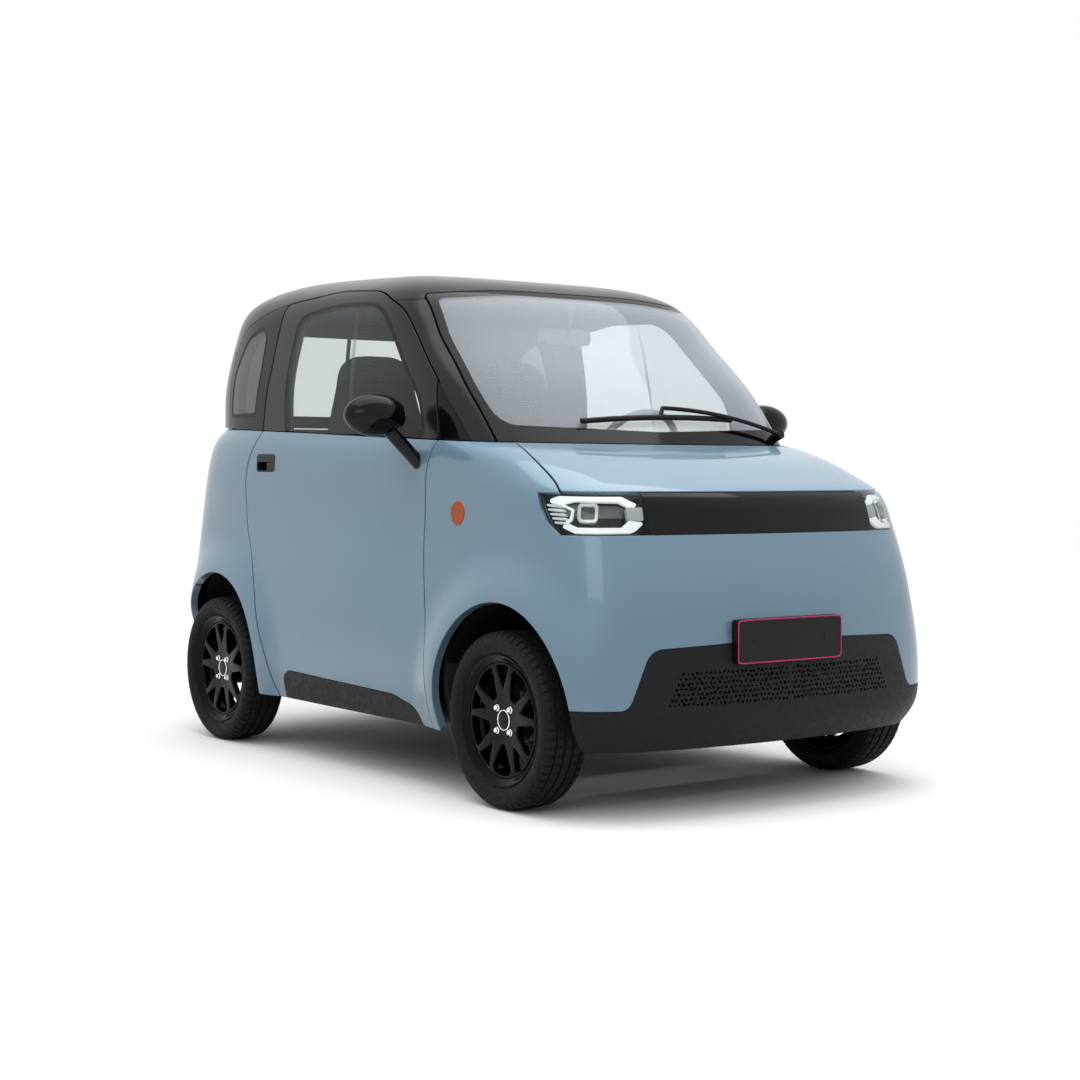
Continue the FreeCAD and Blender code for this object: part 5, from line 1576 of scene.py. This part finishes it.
MIRROR_LEVELS = ((-12, 0.80), (-9, 0.95), (-3, 1.0), (8, 1.0), (11, 0.97), (12, 0.90))
BOX_LEVELS = ((-1, 0.93), (-0.86, 1.0), (0.86, 1.0), (1, 0.97))
mirror = rounded_box((-640.0, 0, 1447), (1, 108, 30), 4.0, 0, MIRROR_LEVELS, 64)
stalk = bent_tube([(-630, 0, 1447), (-618, 0, 1475), (-606, 0, 1512), (-604, 0, 1540)], [9, 8, 8, 12])
detail("cabin_mirror", [mirror, stalk], BODY, "grip_grey", "dash_plastic")
display = rounded_box((-600, 0, 985), (10, 118, 66), 12, -0.25, BOX_LEVELS, 72)
detail("dash_display", [display], BODY, "gloss_black", angle=30)
pod = rounded_box((-500, 300, 1070), (34, 128, 30), 4, 0.3, BOX_LEVELS, 72)
detail("dash_pod", [pod], BODY, "dash_plastic")

vent = [lathe([(-8, 44), (4, 44), (7, 42), (7, 37), (3, 35), (-8, 35)], 64, True)]
for height in (-16.0, 0.0, 16.0):
    vent.append(loft([ring_of(np.array([-34, 34, 34, -34]), np.array([-4, -4, 2, 2]) + edge, height + edge)
                      for edge in (-1.2, 1.2)]))
for side, y in (("left", 480), ("right", -480)):
    placed_vent = [aimed(shape, (-588, y, 975), (-1, 0, 0.1)) for shape in vent]
    detail("dash_vent_" + side, placed_vent, BODY, "dash_plastic")

# Floor, world and lamps. The floor throws little light back, but shows white
SKY_LOW, SKY_HIGH = 0.05, 1.0
SKY_STRENGTH = 1.56
FLOOR_BOUNCE = 0.22
FLOOR_SHOWN = 0.98
FLOOR_HALF = 14.0


def seen_rays(tree):
    """One for the rays that show the background: seen directly, mirrored or through glass."""
    path = tree.nodes.new("ShaderNodeLightPath")
    share = path.outputs["Is Camera Ray"]
    for kind in ("Is Glossy Ray", "Is Transmission Ray"):
        share = reckoned(tree, "MAXIMUM", share, path.outputs[kind]).outputs[0]
    return share


def make_floor():
    data = bpy.data.meshes.new("floor")
    corners = [(a * FLOOR_HALF, b * FLOOR_HALF, 0) for a, b in ((-1, -1), (1, -1), (1, 1), (-1, 1))]
    data.from_pydata(corners, [], [(0, 1, 2, 3)])
    floor = bpy.data.objects.new("floor", data)
    bpy.context.scene.collection.objects.link(floor)
    material, tree, shader = new_material("floor")
    shade = tree.nodes.new("ShaderNodeMix")
    shade.data_type = "RGBA"
    shade.inputs[6].default_value = (FLOOR_BOUNCE, FLOOR_BOUNCE, FLOOR_BOUNCE, 1)
    shade.inputs[7].default_value = (FLOOR_SHOWN, FLOOR_SHOWN, FLOOR_SHOWN, 1)
    tree.links.new(seen_rays(tree), shade.inputs[0])
    tree.links.new(shade.outputs[2], shader.inputs["Base Color"])
    set_sockets(shader, {"Roughness": 0.9, "Specular IOR Level": 0.1})
    data.materials.append(material)


def make_world():
    """Light that grows from the horizon upward, behind a white background."""
    world = bpy.data.worlds.new("world")
    bpy.context.scene.world = world
    world.use_nodes = True
    tree = world.node_tree
    place = tree.nodes.new("ShaderNodeTexCoord")
    axes = tree.nodes.new("ShaderNodeSeparateXYZ")
    tree.links.new(place.outputs["Generated"], axes.inputs[0])
    light = tree.nodes["Background"]
    tree.links.new(ramp(tree, axes.outputs["Z"], SKY_LOW, SKY_HIGH, 0.0, 1.0), light.inputs["Color"])
    set_sockets(light, {"Strength": SKY_STRENGTH})
    white = tree.nodes.new("ShaderNodeBackground")
    set_sockets(white, {"Color": (1, 1, 1, 1)})
    mixed_shaders(tree, seen_rays(tree), light, white, "World Output")


def area_lamp(name, place, target, size, power):
    data = bpy.data.lights.new(name, "AREA")
    data.shape = "RECTANGLE"
    data.size, data.size_y = size
    data.energy = power
    lamp = bpy.data.objects.new(name, data)
    bpy.context.scene.collection.objects.link(lamp)
    place, target = Vector(place), Vector(target)
    turn = (place - target).to_track_quat("Z", "Y").to_matrix().to_4x4()
    lamp.matrix_world = Matrix.Translation(place) @ turn


make_floor()
make_world()
area_lamp("top_light", (0.4, 0.0, 4.2), (0.1, 0.0, 0.8), (5.0, 3.0), 85)
area_lamp("key_light", (3.6, -3.4, 2.8), (0.2, 0.0, 0.8), (2.6, 1.8), 20)

bpy.context.scene.view_settings.view_transform = "Standard"
